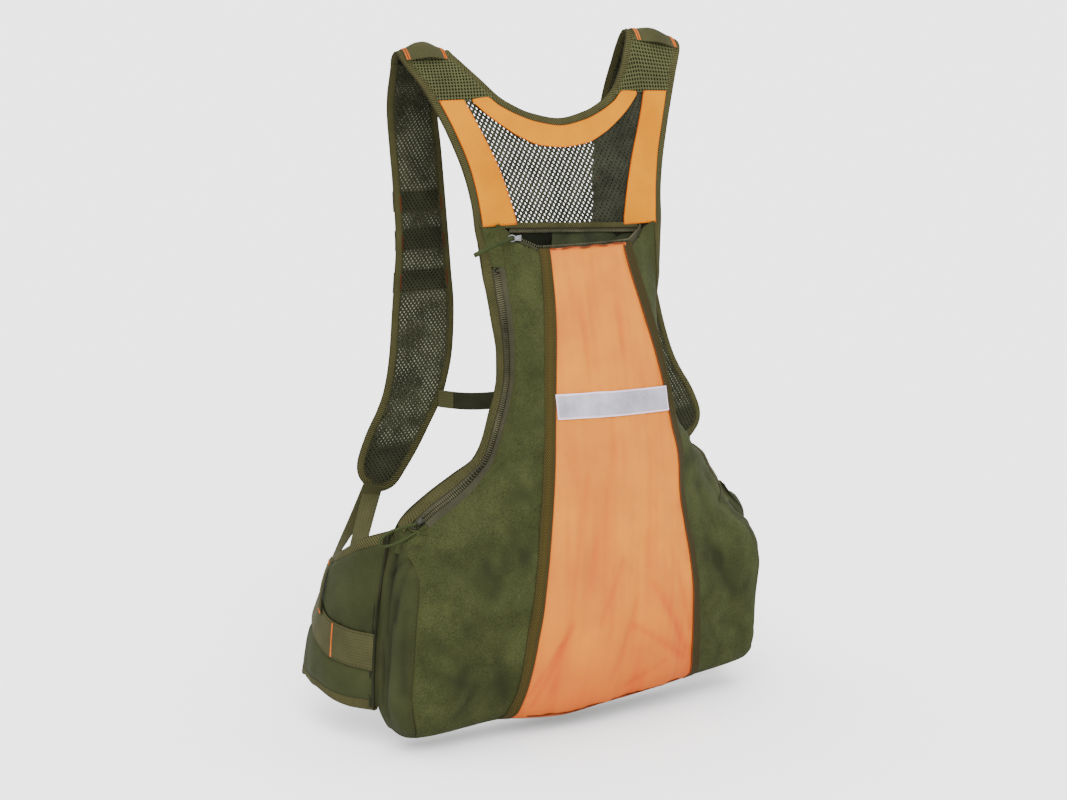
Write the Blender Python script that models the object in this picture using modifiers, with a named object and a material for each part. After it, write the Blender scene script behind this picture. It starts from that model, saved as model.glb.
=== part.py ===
"""A worn suede rucksack: a flared bag, a mesh yoke, shoulder straps, hip wings and a closed hip belt.

Places are written in millimetres: x across to the wearer's right, y from the bag's outer face
towards the wearer, z up from the bag's lower edge. The function at() moves them to the part's own
frame, whose origin lies midway between the two shoulder straps where they sit on the shoulders.
"""

import math
from collections import namedtuple

import bmesh
import bpy
from mathutils import Vector

MM = 0.001
SEAT_Y = 62.0
SEAT_Z = 668.0
GAP = 0.3
SEAM_GAP = 0.6
PANEL_GAP = 1.9

SUEDE = 2.0
TWILL = 1.6
PANEL = 1.5
MESH = 2.0
WEBBING = 1.8
BINDING = 3.4
TAPE = 1.0
PADDING = 7.0

BINDING_WIDTH = 10.0
STRAP_BINDING_WIDTH = 9.0
WING_BINDING_WIDTH = 7.5
ZIP_TAPE_WIDTH = 6.0
ZIP_TEETH_WIDTH = 4.6
REFLECTIVE_WIDTH = 25.0
WEBBING_WIDTH = 25.0
BELT_WIDTH = 38.0
SIDE_STRAP_WIDTH = 18.0

YOKE_BASE_Z = 488.0
PAD_START_Z = 616.0
REFLECTIVE_Z = 313.0
BAG_LOW_Z = -6.0
MOUTH_Z = 466.0
MOUTH_END_Z = 481.5
MOUTH_RUN = 60.0
MOUTH_END_RUN = 92.0
TOP_ZIP_LEFT = 70.0
TOP_ZIP_RIGHT = 84.0
SIDE_ZIP_TOP_Z = 446.0
SIDE_ZIP_END_Z = 213.0
GUSSET_TOP_Z = 181.0
GUSSET_RISE = 15.0
SUEDE_SIDE_LOW_Z = 205.0
BINDING_END_Z = 199.0
FADE_Z = 160.0
BASE_SAG = 3.0
TRIM_LIFT = 0.8
SLIDER_LENGTH = 12.0
SLIDER_WIDTH = 8.0
SLIDER_HEIGHT = 4.0
TOP_PULL_DIAMETER = 5.0
SIDE_PULL_DIAMETER = 3.2
BAND_THICKNESS = 1.2
BAND_START_Z = 491.0
BAND_HEIGHT = 124.5
BASE_STRIP_LOW_Z = 482.0
BASE_STRIP_HEIGHT = 8.0
COLLAR_REACH = 103.0
SPACER_THICKNESS = 3.0
SPACER_END_Z = 655.0
CROSS_BAND_SHARE = 0.84
CROSS_BAND_BULGE = 1.5
LOOP_START = -14.0
LOOP_LENGTH = 24.0
LOOP_RISE = 11.0
WING_HEIGHT = 130.0
WING_START = 0.03
WING_SPAN = 0.915
WING_MARGIN = 0.068
WING_ROUND = 0.14
WING_ROUND_START = 0.8
WING_BULGE = 6.0
INNER_FOLD_LEFT_X = -34.0
INNER_FOLD_WIDTH = 110.0
INNER_FOLD_BOW = 4.0
BUCKLE_SIZE = (64.0, 12.0, 48.0)
SHOULDER_RISE = 14.0
STRAP_RISE = 9.0
SHOULDER_REACH = 45.0
SHOULDER_INNER_X = 112.0
SHOULDER_OUTER_X = 178.0
NECK_RISE_X = 60.0
CROSS_BAND_HEIGHTS = (510.0, 470.0, 428.0)
BASE_STATIONS = (0.0, 0.4, 0.75, 1.0, 2.0, 2.35, 2.8, 3.3)
LEFT = -1
RIGHT = 1
SIDES = ((LEFT, "left"), (RIGHT, "right"))

Profile = namedtuple("Profile", "y z")
HARNESS_PROFILE = (
    Profile(0.0, 0.0),
    Profile(1.0, 200.0),
    Profile(2.0, 400.0),
    Profile(5.0, 440.0),
    Profile(9.0, 485.0),
    Profile(13.0, 514.0),
    Profile(19.0, 548.0),
    Profile(28.0, 586.0),
    Profile(36.0, 613.0),
    Profile(42.0, 632.0),
    Profile(49.0, 648.0),
    Profile(55.0, 661.0),
    Profile(62.0, 668.0),
    Profile(70.0, 663.0),
    Profile(77.0, 652.0),
    Profile(86.0, 636.0),
    Profile(94.0, 620.0),
    Profile(100.0, 598.0),
    Profile(102.5, 563.0),
    Profile(102.0, 525.0),
    Profile(98.0, 472.0),
    Profile(94.0, 435.0),
    Profile(87.6, 400.0),
    Profile(81.0, 354.0),
    Profile(77.0, 322.0),
    Profile(74.0, 290.0),
    Profile(71.5, 260.0),
    Profile(70.0, 210.0),
)

Edge = namedtuple("Edge", "z x")
SIDE_EDGE = (
    Edge(0.0, 245.0),
    Edge(50.0, 243.0),
    Edge(91.0, 241.0),
    Edge(141.0, 236.0),
    Edge(182.0, 225.0),
    Edge(196.0, 219.0),
    Edge(206.0, 211.0),
    Edge(225.0, 183.0),
    Edge(242.0, 151.0),
    Edge(254.0, 128.0),
    Edge(271.0, 117.0),
    Edge(302.0, 107.0),
    Edge(318.0, 101.5),
    Edge(337.0, 98.0),
    Edge(358.0, 98.0),
    Edge(395.0, 104.0),
    Edge(440.0, 112.0),
    Edge(485.0, 117.0),
    Edge(514.0, 119.0),
    Edge(548.0, 126.0),
    Edge(586.0, 139.0),
    Edge(613.0, 151.0),
    Edge(632.0, 160.0),
    Edge(648.0, 169.0),
    Edge(661.0, 175.0),
    Edge(668.0, 176.0),
)

NECK_EDGE = (
    Edge(594.0, 0.0),
    Edge(600.0, 33.0),
    Edge(608.0, 53.0),
    Edge(619.0, 71.0),
    Edge(637.0, 89.0),
    Edge(653.0, 103.0),
    Edge(664.0, 112.0),
    Edge(668.0, 114.0),
)

StrapRow = namedtuple("StrapRow", "z inner outer")
STRAP_ROWS = (
    StrapRow(217.0, 189.0, 197.0),
    StrapRow(220.0, 180.0, 206.0),
    StrapRow(225.0, 173.5, 212.0),
    StrapRow(234.0, 166.0, 219.0),
    StrapRow(245.0, 157.5, 221.4),
    StrapRow(258.0, 148.0, 218.5),
    StrapRow(279.0, 134.0, 208.5),
    StrapRow(301.0, 119.5, 194.5),
    StrapRow(322.0, 110.0, 184.7),
    StrapRow(354.0, 100.0, 176.0),
    StrapRow(400.0, 93.5, 168.0),
    StrapRow(435.0, 92.4, 161.0),
    StrapRow(472.0, 93.0, 156.5),
    StrapRow(525.0, 95.2, 157.0),
    StrapRow(563.0, 98.4, 160.0),
    StrapRow(600.0, 104.3, 164.5),
    StrapRow(641.0, 110.5, 170.5),
    StrapRow(660.0, 113.5, 175.0),
    StrapRow(668.0, 114.0, 176.0),
)

Section = namedtuple("Section", "z mid_y orange_x orange_y trim_x trim_y fold_x fold_y tuck")
BAG_SECTIONS = (
    Section(-8.0, -62.0, 114.0, -52.0, 127.0, -51.0, 222.0, -44.0, 22.0),
    Section(5.0, -75.0, 112.5, -64.0, 125.0, -61.0, 230.0, -50.0, 21.0),
    Section(30.0, -84.0, 107.0, -73.0, 118.5, -71.0, 234.0, -55.0, 20.0),
    Section(70.0, -91.0, 101.0, -81.0, 112.5, -77.0, 232.0, -56.0, 18.0),
    Section(110.0, -93.0, 95.5, -85.0, 106.5, -79.0, 227.0, -53.0, 11.0),
    Section(150.0, -92.0, 89.5, -84.0, 100.0, -77.5, 218.0, -45.0, 5.0),
    Section(180.0, -90.5, 85.0, -82.0, 95.5, -75.0, 207.0, -34.0, 1.0),
    Section(200.0, -89.0, 82.0, -80.0, 93.0, -73.0, 190.0, -32.0, 0.0),
    Section(225.0, -87.0, 79.5, -79.0, 89.5, -71.5, 150.0, -42.0, 0.0),
    Section(250.0, -84.0, 76.5, -76.5, 86.5, -69.0, 118.0, -46.0, 0.0),
    Section(290.0, -77.0, 71.5, -70.0, 81.5, -65.0, 100.0, -38.0, 0.0),
    Section(340.0, -66.0, 64.5, -60.5, 75.5, -56.0, 90.0, -30.0, 0.0),
    Section(395.0, -49.0, 54.5, -46.0, 66.5, -42.0, 88.0, -22.0, 0.0),
    Section(440.0, -33.0, 48.0, -30.0, 59.5, -27.0, 89.0, -10.0, 0.0),
    Section(468.0, -24.0, 45.6, -20.0, 57.0, -16.0, 90.0, -2.0, 0.0),
    Section(488.0, -12.0, 45.0, -8.0, 57.0, -4.0, 90.0, 3.0, 0.0),
)

Rise = namedtuple("Rise", "x rise")
LOWER_EDGE = (
    Rise(-245.0, -3.0),
    Rise(-225.0, -6.0),
    Rise(-130.0, 3.0),
    Rise(-95.0, -1.0),
    Rise(-56.0, -4.0),
    Rise(0.0, 0.0),
    Rise(88.0, 5.0),
    Rise(150.0, 11.0),
    Rise(225.0, 18.0),
)

Fold = namedtuple("Fold", "x1 z1 x2 z2 width depth")
FOLDS = (
    Fold(-150.0, 20.0, -120.0, 90.0, 16.0, 4.0),
    Fold(-200.0, 30.0, -185.0, 120.0, 20.0, -4.0),
    Fold(-60.0, 30.0, -35.0, 190.0, 14.0, 3.0),
    Fold(10.0, 15.0, 25.0, 160.0, 16.0, 4.0),
    Fold(70.0, 20.0, 50.0, 130.0, 14.0, -3.0),
    Fold(160.0, 30.0, 130.0, 130.0, 18.0, 4.0),
    Fold(-20.0, 330.0, 10.0, 450.0, 12.0, 3.0),
)

Band = namedtuple("Band", "z inner outer")
SIDE_BAND = (
    Band(489.0, 67.0, 106.5),
    Band(515.0, 73.0, 109.0),
    Band(550.0, 84.0, 115.5),
    Band(585.0, 99.0, 127.5),
    Band(615.5, 113.0, 140.5),
)

NeckBand = namedtuple("NeckBand", "x top bottom")
NECK_BAND = (
    NeckBand(0.0, 582.5, 564.0),
    NeckBand(29.0, 587.0, 567.0),
    NeckBand(52.0, 595.0, 576.0),
    NeckBand(72.0, 605.5, 588.0),
    NeckBand(86.0, 615.5, 598.0),
    NeckBand(104.0, 615.5, 613.5),
)

Wing = namedtuple("Wing", "y top_x top_z low_x low_z band_z")
WING_ROWS = (
    Wing(2.0, 224.0, 193.0, 246.0, 9.0, 70.0),
    Wing(30.0, 243.0, 181.0, 258.0, 8.0, 72.0),
    Wing(60.0, 246.0, 165.0, 266.0, 15.0, 76.0),
    Wing(90.0, 238.0, 152.0, 266.0, 27.0, 84.0),
    Wing(120.0, 222.0, 143.0, 254.0, 40.0, 89.0),
    Wing(150.0, 200.0, 134.0, 230.0, 54.0, 94.0),
)

Waist = namedtuple("Waist", "x y z")
BELT_ROUTE = (
    Waist(214.0, 152.5, 94.0),
    Waist(186.0, 182.0, 97.0),
    Waist(144.0, 206.0, 100.0),
    Waist(90.0, 221.0, 102.0),
    Waist(32.4, 227.0, 103.0),
)

TOP_PULL = (
    (-83.2, -6.4, 478.0),
    (-96.0, -13.0, 476.5),
    (-110.0, -14.0, 473.0),
    (-132.0, -14.0, 465.0),
)
SIDE_PULL = (
    (-206.0, -20.0, 202.0),
    (-220.0, -19.0, 200.0),
    (-235.0, -17.0, 197.0),
    (-245.0, -15.0, 190.0),
    (-245.0, -15.0, 184.0),
    (-237.0, -17.0, 183.0),
    (-224.0, -20.0, 187.0),
    (-209.0, -24.0, 194.0),
)

Tint = namedtuple("Tint", "color roughness metallic")
TINTS = {
    "suede": Tint((0.085, 0.105, 0.030), 0.95, 0.0),
    "twill": Tint((0.070, 0.085, 0.030), 0.90, 0.0),
    "orange": Tint((0.80, 0.33, 0.13), 0.75, 0.0),
    "orange_band": Tint((0.78, 0.36, 0.09), 0.75, 0.0),
    "binding": Tint((0.100, 0.095, 0.030), 0.90, 0.0),
    "trim": Tint((0.14, 0.11, 0.035), 0.90, 0.0),
    "reflective": Tint((0.60, 0.60, 0.63), 0.35, 0.4),
    "mesh": Tint((0.030, 0.040, 0.025), 0.90, 0.0),
    "spacer": Tint((0.110, 0.130, 0.050), 0.90, 0.0),
    "webbing": Tint((0.120, 0.115, 0.045), 0.85, 0.0),
    "zip_tape": Tint((0.12, 0.10, 0.06), 0.85, 0.0),
    "teeth": Tint((0.10, 0.09, 0.06), 0.45, 0.3),
    "metal": Tint((0.55, 0.55, 0.56), 0.30, 1.0),
    "cord": Tint((0.10, 0.14, 0.04), 0.80, 0.0),
    "lining": Tint((0.10, 0.13, 0.05), 0.80, 0.0),
    "buckle": Tint((0.03, 0.035, 0.02), 0.50, 0.0),
}


def at(x, y, z):
    """A place given in millimetres on the bag, in the part's own frame in metres."""
    return Vector((x, y - SEAT_Y, z - SEAT_Z)) * MM


def slopes(keys, values):
    """Slopes at the rows of a table that keep the curve between them free of overshoot."""
    rates = [
        (values[i + 1] - values[i]) / (keys[i + 1] - keys[i]) for i in range(len(keys) - 1)
    ]
    found = [rates[0]]
    for before, after in zip(rates, rates[1:]):
        found.append(0.0 if before * after <= 0 else 2 * before * after / (before + after))
    found.append(rates[-1])
    return found


class Table:
    """Rows of named columns, read at any key as smooth curves through the rows."""

    def __init__(self, rows):
        self.kind = type(rows[0])
        columns = list(zip(*rows))
        self.keys = columns[0]
        self.columns = columns
        self.slopes = [slopes(self.keys, column) for column in columns]

    def at(self, key):
        """The row at a key, held at the first and last rows beyond them."""
        key = min(max(key, self.keys[0]), self.keys[-1])
        i = max(n for n in range(len(self.keys) - 1) if self.keys[n] <= key)
        step = self.keys[i + 1] - self.keys[i]
        t = (key - self.keys[i]) / step
        found = []
        for column, slope in zip(self.columns, self.slopes):
            found.append(
                column[i] * (1 + 2 * t) * (1 - t) ** 2
                + column[i + 1] * t * t * (3 - 2 * t)
                + slope[i] * step * t * (1 - t) ** 2
                + slope[i + 1] * step * t * t * (t - 1)
            )
        return self.kind(*found)


def spline(points, t):
    """A point at t from 0 to 1 on a smooth curve through points, each counted as one step."""
    place = min(max(t, 0.0), 1.0) * (len(points) - 1)
    i = min(int(place), len(points) - 2)
    part = place - i
    a, b = points[i], points[i + 1]
    before = points[i - 1] if i else a * 2 - b
    after = points[i + 2] if i + 2 < len(points) else b * 2 - a
    return (
        b * (3 * part**2 - 2 * part**3)
        + a * (1 - 3 * part**2 + 2 * part**3)
        + (b - before) * 0.5 * part * (1 - part) ** 2
        + (after - a) * 0.5 * part**2 * (part - 1)
    )


class Path:
    """A smooth curve through points, read by the distance along it."""

    def __init__(self, points, steps=12):
        points = [Vector(p) for p in points]
        count = steps * (len(points) - 1)
        self.points = [spline(points, n / count) for n in range(count + 1)]
        self.lengths = [0.0]
        for a, b in zip(self.points, self.points[1:]):
            self.lengths.append(self.lengths[-1] + (b - a).length)
        self.length = self.lengths[-1]

    def at(self, distance):
        """The point at a distance along the curve, in millimetres."""
        distance = min(max(distance, 0.0), self.length)
        low, high = 0, len(self.lengths) - 1
        while high - low > 1:
            middle = (low + high) // 2
            if self.lengths[middle] <= distance:
                low = middle
            else:
                high = middle
        span = self.lengths[high] - self.lengths[low]
        part = (distance - self.lengths[low]) / span if span else 0.0
        return self.points[low].lerp(self.points[high], part)

    def heading(self, distance):
        """The direction of the curve at a distance along it."""
        reach = 1.0
        return (self.at(distance + reach) - self.at(distance - reach)).normalized()


SIDE = Table(SIDE_EDGE)
BAG = Table(BAG_SECTIONS)
LOWER = Table(LOWER_EDGE)
ORANGE_SIDE = Table(SIDE_BAND)
ORANGE_NECK = Table(NECK_BAND)
WINGS = Table(WING_ROWS)
HARNESS = Path([(row.y, row.z) for row in HARNESS_PROFILE])


def seat_distance():
    """How far along the harness profile its highest point lies."""
    highest = max(range(len(HARNESS.points)), key=lambda n: HARNESS.points[n].y)
    return HARNESS.lengths[highest]


SEAT = seat_distance()


def harness_distance(z, front):
    """How far along the harness profile a height lies, on its back or on its front."""
    low, high = (SEAT, HARNESS.length) if front else (0.0, SEAT)
    for _ in range(30):
        middle = (low + high) / 2
        below = HARNESS.at(middle).y < z
        if below != front:
            low = middle
        else:
            high = middle
    return (low + high) / 2


def right_rise(x, s):
    """How much higher the right shoulder sits than the left, most beside the neck."""
    if x <= NECK_RISE_X:
        return 0.0
    reach = math.exp(-(((s - SEAT) / SHOULDER_REACH) ** 2))
    inner = min(max((SHOULDER_OUTER_X - x) / (SHOULDER_OUTER_X - SHOULDER_INNER_X), 0.0), 1.0)
    grow = min((x - NECK_RISE_X) / (SHOULDER_INNER_X - NECK_RISE_X), 1.0)
    rise = SHOULDER_RISE * reach * inner * grow
    if s > SEAT:
        rise += STRAP_RISE * (1 - reach)
    return rise


def harness(x, s, lift=0.0):
    """A place on the harness: x across, s along its profile, lift out from the wearer."""
    point = HARNESS.at(s)
    heading = HARNESS.heading(s)
    rise = right_rise(x, s)
    return at(x, point.x - heading.y * lift, point.y + heading.x * lift + rise)


def back_y(z):
    """The depth of the back panel's plane at a height."""
    return HARNESS.at(harness_distance(z, False)).x


def fold_depth(x, z):
    """How far the soft folds press the bag's front skin in at a place."""
    depth = 0.0
    for fold in FOLDS:
        along = Vector((fold.x2 - fold.x1, fold.z2 - fold.z1))
        reach = Vector((x - fold.x1, z - fold.z1))
        t = min(max(reach.dot(along) / along.length_squared, 0.0), 1.0)
        away = (reach - along * t).length / fold.width
        depth += fold.depth * math.exp(-away * away)
    return depth


def lower_rise(x, z):
    """How far the bag's uneven lower edge lifts a place, fading out above it."""
    fade = min(max(1 - z / FADE_Z, 0.0), 1.0)
    return LOWER.at(x).rise * fade * fade


def section(z):
    """The corner points of the bag's front skin at a height, from its middle to its side seam."""
    row = BAG.at(z)
    seam = SIDE.at(z).x
    return [
        Vector((-row.orange_x, row.orange_y)),
        Vector((0.0, row.mid_y)),
        Vector((row.orange_x, row.orange_y)),
        Vector((row.trim_x, row.trim_y)),
        Vector((row.fold_x, row.fold_y)),
        Vector((seam - 1.0, back_y(z) - 1.0)),
    ]


def tucked(x, z, side):
    """How far the right side is drawn in towards the middle, most at the side seam."""
    return BAG.at(z).tuck * min((x / SIDE.at(z).x) ** 2, 1.0) if side == RIGHT else 0.0


def skin_flat(z, station, side, lift=0.0):
    """x and y on the bag's front skin, station 1 the orange edge, 2 trim, 3 fold and 4 seam."""
    corners = section(z)
    steps = len(corners) - 1
    point = spline(corners, (station + 1) / steps)
    if lift:
        reach = 0.02
        heading = spline(corners, (station + 1 + reach) / steps) - spline(
            corners, (station + 1 - reach) / steps
        )
        heading.normalize()
        point = point + Vector((heading.y, -heading.x)) * lift
    return Vector((side * (point.x - tucked(point.x, z, side)), point.y))


def skin(z, station, side, lift=0.0):
    """A place on the bag's front skin, with its folds and its uneven lower edge."""
    flat = skin_flat(z, station, side, lift)
    fade = min(max(3.6 - station, 0.0), 1.0)
    pressed = fold_depth(flat.x, z) * fade
    return at(flat.x, flat.y + pressed, z + lower_rise(flat.x, z))


class Unrolled:
    """The front skin laid flat: run is the distance out from the middle along a section."""

    def __init__(self):
        self.found = {}

    def lengths(self, z):
        """The distance out to each tenth of a station at a height."""
        key = round(z, 1)
        if key not in self.found:
            points = [skin_flat(key, n / 10, LEFT) for n in range(41)]
            runs = [0.0]
            for a, b in zip(points, points[1:]):
                runs.append(runs[-1] + (b - a).length)
            self.found[key] = runs
        return self.found[key]

    def run(self, station, z):
        """The distance out to a station at a height."""
        runs = self.lengths(z)
        n = min(int(station * 10), 39)
        return runs[n] + (runs[n + 1] - runs[n]) * (station * 10 - n)

    def station(self, run, z):
        """The station at a distance out at a height."""
        runs = self.lengths(z)
        n = max(i for i in range(40) if runs[i] <= max(run, 0.0))
        return (n + (run - runs[n]) / (runs[n + 1] - runs[n])) / 10

    def place(self, run, z, side, lift=0.0):
        """The place on the skin at a distance out and a height."""
        return skin(z, min(self.station(run, z), 4.0), side, lift)


UNROLLED = Unrolled()


def seam_outline(low_z, high_z):
    """The side edge between two heights on the unrolled skin, from its top down."""
    heights = [row.z for row in reversed(SIDE_EDGE) if low_z + 5 < row.z < high_z - 5]
    heights = [high_z, *heights, low_z]
    return Path([(UNROLLED.run(4.0, z), z) for z in heights])


def inset_spot(run, distance, inset):
    """A place inset from an outline on the unrolled skin, square to that outline."""
    heading = run.heading(distance)
    return run.at(distance) + Vector((heading.y, -heading.x)) * inset


def material(tint):
    """The material of a finish, made once and copied for each piece."""
    values = TINTS[tint]
    made = bpy.data.materials.new(tint)
    made.use_nodes = True
    shader = made.node_tree.nodes["Principled BSDF"]
    shader.inputs["Base Color"].default_value = (*values.color, 1.0)
    shader.inputs["Roughness"].default_value = values.roughness
    shader.inputs["Metallic"].default_value = values.metallic
    made.diffuse_color = (*values.color, 1.0)
    return made


def add_piece(name, mesh, tint):
    """A named object of the rucksack from a mesh, with a material of its own."""
    piece = bpy.data.objects.new(name, mesh)
    piece.data.materials.append(material(tint))
    bpy.data.collections["suede_rucksack"].objects.link(piece)
    return piece


def cloth(name, place, across, along, thickness, tint, offset=-1.0):
    """A sheet of cloth: a grid set out by place(u, v), thickened by a Solidify modifier."""
    mesh = bpy.data.meshes.new(name)
    shape = bmesh.new()
    bmesh.ops.create_grid(shape, x_segments=across, y_segments=along, size=1.0)
    for vertex in shape.verts:
        vertex.co = place((vertex.co.x + 1) / 2, (vertex.co.y + 1) / 2)
    shape.to_mesh(mesh)
    shape.free()
    mesh.shade_smooth()
    piece = add_piece(name, mesh, tint)
    wall = piece.modifiers.new("wall", "SOLIDIFY")
    wall.thickness = thickness * MM
    wall.offset = offset
    wall.use_even_offset = True
    return piece


def block(name, corners, tint, bevel=0.8):
    """A small block whose eight corners come from a cube, with rounded edges."""
    mesh = bpy.data.meshes.new(name)
    shape = bmesh.new()
    bmesh.ops.create_cube(shape, size=1.0)
    for vertex in shape.verts:
        vertex.co = corners(vertex.co.x + 0.5, vertex.co.y + 0.5, vertex.co.z + 0.5)
    shape.normal_update()
    bmesh.ops.recalc_face_normals(shape, faces=shape.faces)
    shape.to_mesh(mesh)
    shape.free()
    piece = add_piece(name, mesh, tint)
    edges = piece.modifiers.new("edges", "BEVEL")
    edges.width = bevel * MM
    edges.segments = 1
    return piece


def cord(name, points, diameter, tint):
    """A short cord as a curve with a round section and filled caps."""
    curve = bpy.data.curves.new(name, "CURVE")
    curve.dimensions = "3D"
    curve.bevel_depth = diameter / 2 * MM
    curve.bevel_resolution = 1
    curve.use_fill_caps = True
    run = Path(points)
    count = 14
    line = curve.splines.new("POLY")
    line.points.add(count)
    for n in range(count + 1):
        place = run.at(run.length * n / count)
        line.points[n].co = (*at(*place), 1.0)
    piece = bpy.data.objects.new(name, curve)
    curve.materials.append(material(tint))
    bpy.data.collections["suede_rucksack"].objects.link(piece)
    return piece


def mouth_height(run):
    """The top of the bag's front skin: low at the open mouth, up at the yoke beside it."""
    part = min(max((run - MOUTH_RUN) / (MOUTH_END_RUN - MOUTH_RUN), 0.0), 1.0)
    return MOUTH_Z + (MOUTH_END_Z - MOUTH_Z) * part


def suede_limit(side):
    """The suede panel's outer limit on the unrolled skin: up the gusset fold, then the side."""
    covers = BINDING_WIDTH + PANEL_GAP
    if side == LEFT:
        covers += 2 * ZIP_TAPE_WIDTH + ZIP_TEETH_WIDTH + 4 * SEAM_GAP
    outline = seam_outline(SUEDE_SIDE_LOW_Z, MOUTH_END_Z)
    count = 14
    top_down = [inset_spot(outline, outline.length * n / count, covers) for n in range(count + 1)]
    heights = (BAG_LOW_Z, 30.0, 70.0, 110.0, 150.0, GUSSET_TOP_Z)
    fold = [(UNROLLED.run(3.0, z) - SEAM_GAP, z) for z in heights]
    return Path(fold + [(spot.x, spot.y) for spot in reversed(top_down)], 6)


def build_front():
    """The orange panel, its two trim tapes, the reflective tape and the two suede panels."""
    margin = 0.012
    height = MOUTH_Z - BAG_LOW_Z

    def orange(u, v):
        station = (2 * u - 1) * (1 - margin)
        return skin(BAG_LOW_Z + height * v, abs(station), LEFT if station < 0 else RIGHT)

    cloth("front_orange_panel", orange, 8, 17, PANEL, "orange")

    def reflective(u, v):
        station = (2 * u - 1) * (1 - margin)
        z = REFLECTIVE_Z + (v - 0.5) * REFLECTIVE_WIDTH
        return skin(z, abs(station), LEFT if station < 0 else RIGHT, GAP + TAPE)

    cloth("reflective_tape", reflective, 8, 2, TAPE, "reflective")

    for side, word in SIDES:

        def trim(u, v):
            across = u if side == RIGHT else 1 - u
            station = 1 + margin + (1 - 2 * margin) * across
            return skin(BAG_LOW_Z + height * v, station, side, TRIM_LIFT)

        cloth(f"trim_tape_{word}", trim, 1, 17, PANEL, "trim")

        limit = suede_limit(side)

        def suede(u, v):
            across = u if side == RIGHT else 1 - u
            z = BAG_LOW_Z + height * v
            inner = Vector((UNROLLED.run(2 + margin, z) + SEAM_GAP, z))
            spot = inner.lerp(limit.at(limit.length * v), across)
            return UNROLLED.place(spot.x, spot.y, side)

        cloth(f"front_suede_{word}", suede, 6, 17, SUEDE, "suede")


def build_gussets_and_bottom():
    """The side gussets below the hip seam and the bag's bottom."""
    for side, word in SIDES:

        def gusset(u, v):
            across = u if side == RIGHT else 1 - u
            top = GUSSET_TOP_Z - 1.0 + GUSSET_RISE * across
            z = BAG_LOW_Z + (top - BAG_LOW_Z) * v
            inner = UNROLLED.run(3.0, z) + 2 * SEAM_GAP
            outer = UNROLLED.run(4.0, z) - SEAM_GAP
            return UNROLLED.place(inner + (outer - inner) * across, z, side)

        cloth(f"gusset_{word}", gusset, 4, 8, TWILL, "twill")

    base_steps = len(BASE_STATIONS) - 1

    def base(u, v):
        across = 2 * u - 1
        side = LEFT if across < 0 else RIGHT
        station = BASE_STATIONS[round(abs(across) * base_steps)]
        front = skin_flat(BAG_LOW_Z, station, side)
        x = front.x * 0.985
        y = front.y + 2.0
        z = BAG_LOW_Z + lower_rise(front.x, BAG_LOW_Z) - 1.5 * SEAM_GAP
        rear = Vector((x, -2.5, BAG_LOW_Z + 12.0))
        spot = rear.lerp(Vector((x, y, z)), v)
        return at(spot.x, spot.y, spot.z - BASE_SAG * math.sin(math.pi * v))

    sheet = cloth("bag_bottom", base, 2 * base_steps, 3, TWILL, "twill")
    sheet.modifiers["wall"].use_even_offset = False


def build_back():
    """The back panel on the wearer's side, from the yoke base to the lower edge."""

    run = Path([(row.x, row.z) for row in SIDE_EDGE if row.z <= YOKE_BASE_Z])

    def back(u, v):
        z = 6.0 + max(run.at(run.length * v).y - 6.0, 0.0)
        z = min(z, YOKE_BASE_Z - 6.5)
        side = RIGHT if u < 0.5 else LEFT
        half = abs(1 - 2 * u) * (SIDE.at(z).x - 3.0)
        x = side * (half - tucked(half, z, side))
        return at(x, back_y(z) + BINDING / 2 + GAP + TWILL, z)

    cloth("back_panel", back, 6, 18, TWILL, "twill")


def closer_at_ends(v):
    """v from 0 to 1, with closer steps at both ends, where the sheet bends over the shoulder."""
    return v - 0.6 * math.sin(2 * math.pi * v) / (2 * math.pi)


def closer_at_turns(v):
    """v from 0 to 1, with closer steps at both ends and halfway, round a strap's low end."""
    return v - 0.6 * math.sin(4 * math.pi * v) / (4 * math.pi)


def closer_at_start(v):
    """v from 0 to 1, with closer steps at its start."""
    return v - 0.55 * math.sin(math.pi * v) / math.pi


def edge_strip(points, inset, width, lift, flip=False, pace=closer_at_ends):
    """A strip along an outline on the harness sheet: points hold x and s, inset from the edge."""
    run = Path([(x, s) for x, s in points])

    def place(u, v):
        distance = run.length * pace(v)
        point = run.at(distance)
        heading = run.heading(distance)
        inward = Vector((heading.y, -heading.x)) * (-1 if flip else 1)
        spot = point + inward * (inset + width * u)
        return harness(spot.x, spot.y, lift)

    return place


def side_outline(side, low_z):
    """The side edge from the shoulder down to a height, as x and s."""
    heights = [row.z for row in reversed(SIDE_EDGE) if row.z > low_z + 4.0] + [low_z]
    return [(side * SIDE.at(z).x, harness_distance(z, False)) for z in heights]


def neck_outline():
    """The neck edge from the left shoulder round to the right, as x and s."""
    half = [(row.x, harness_distance(row.z, False)) for row in NECK_EDGE]
    left = [(-x, s) for x, s in reversed(half)]
    return left + half[1:]


def strap_outline(side):
    """The front strap's edge from the shoulder down its outer side, round its end and up."""
    strap = Table(STRAP_ROWS)
    heights = [row.z for row in reversed(STRAP_ROWS)]
    distances = [max(harness_distance(z, True), SEAT + 2.8) for z in heights]
    outer = [(side * strap.at(z).outer, s) for z, s in zip(heights, distances)]
    inner = [(side * strap.at(z).inner, s) for z, s in zip(heights, distances)]
    return outer, inner


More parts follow.
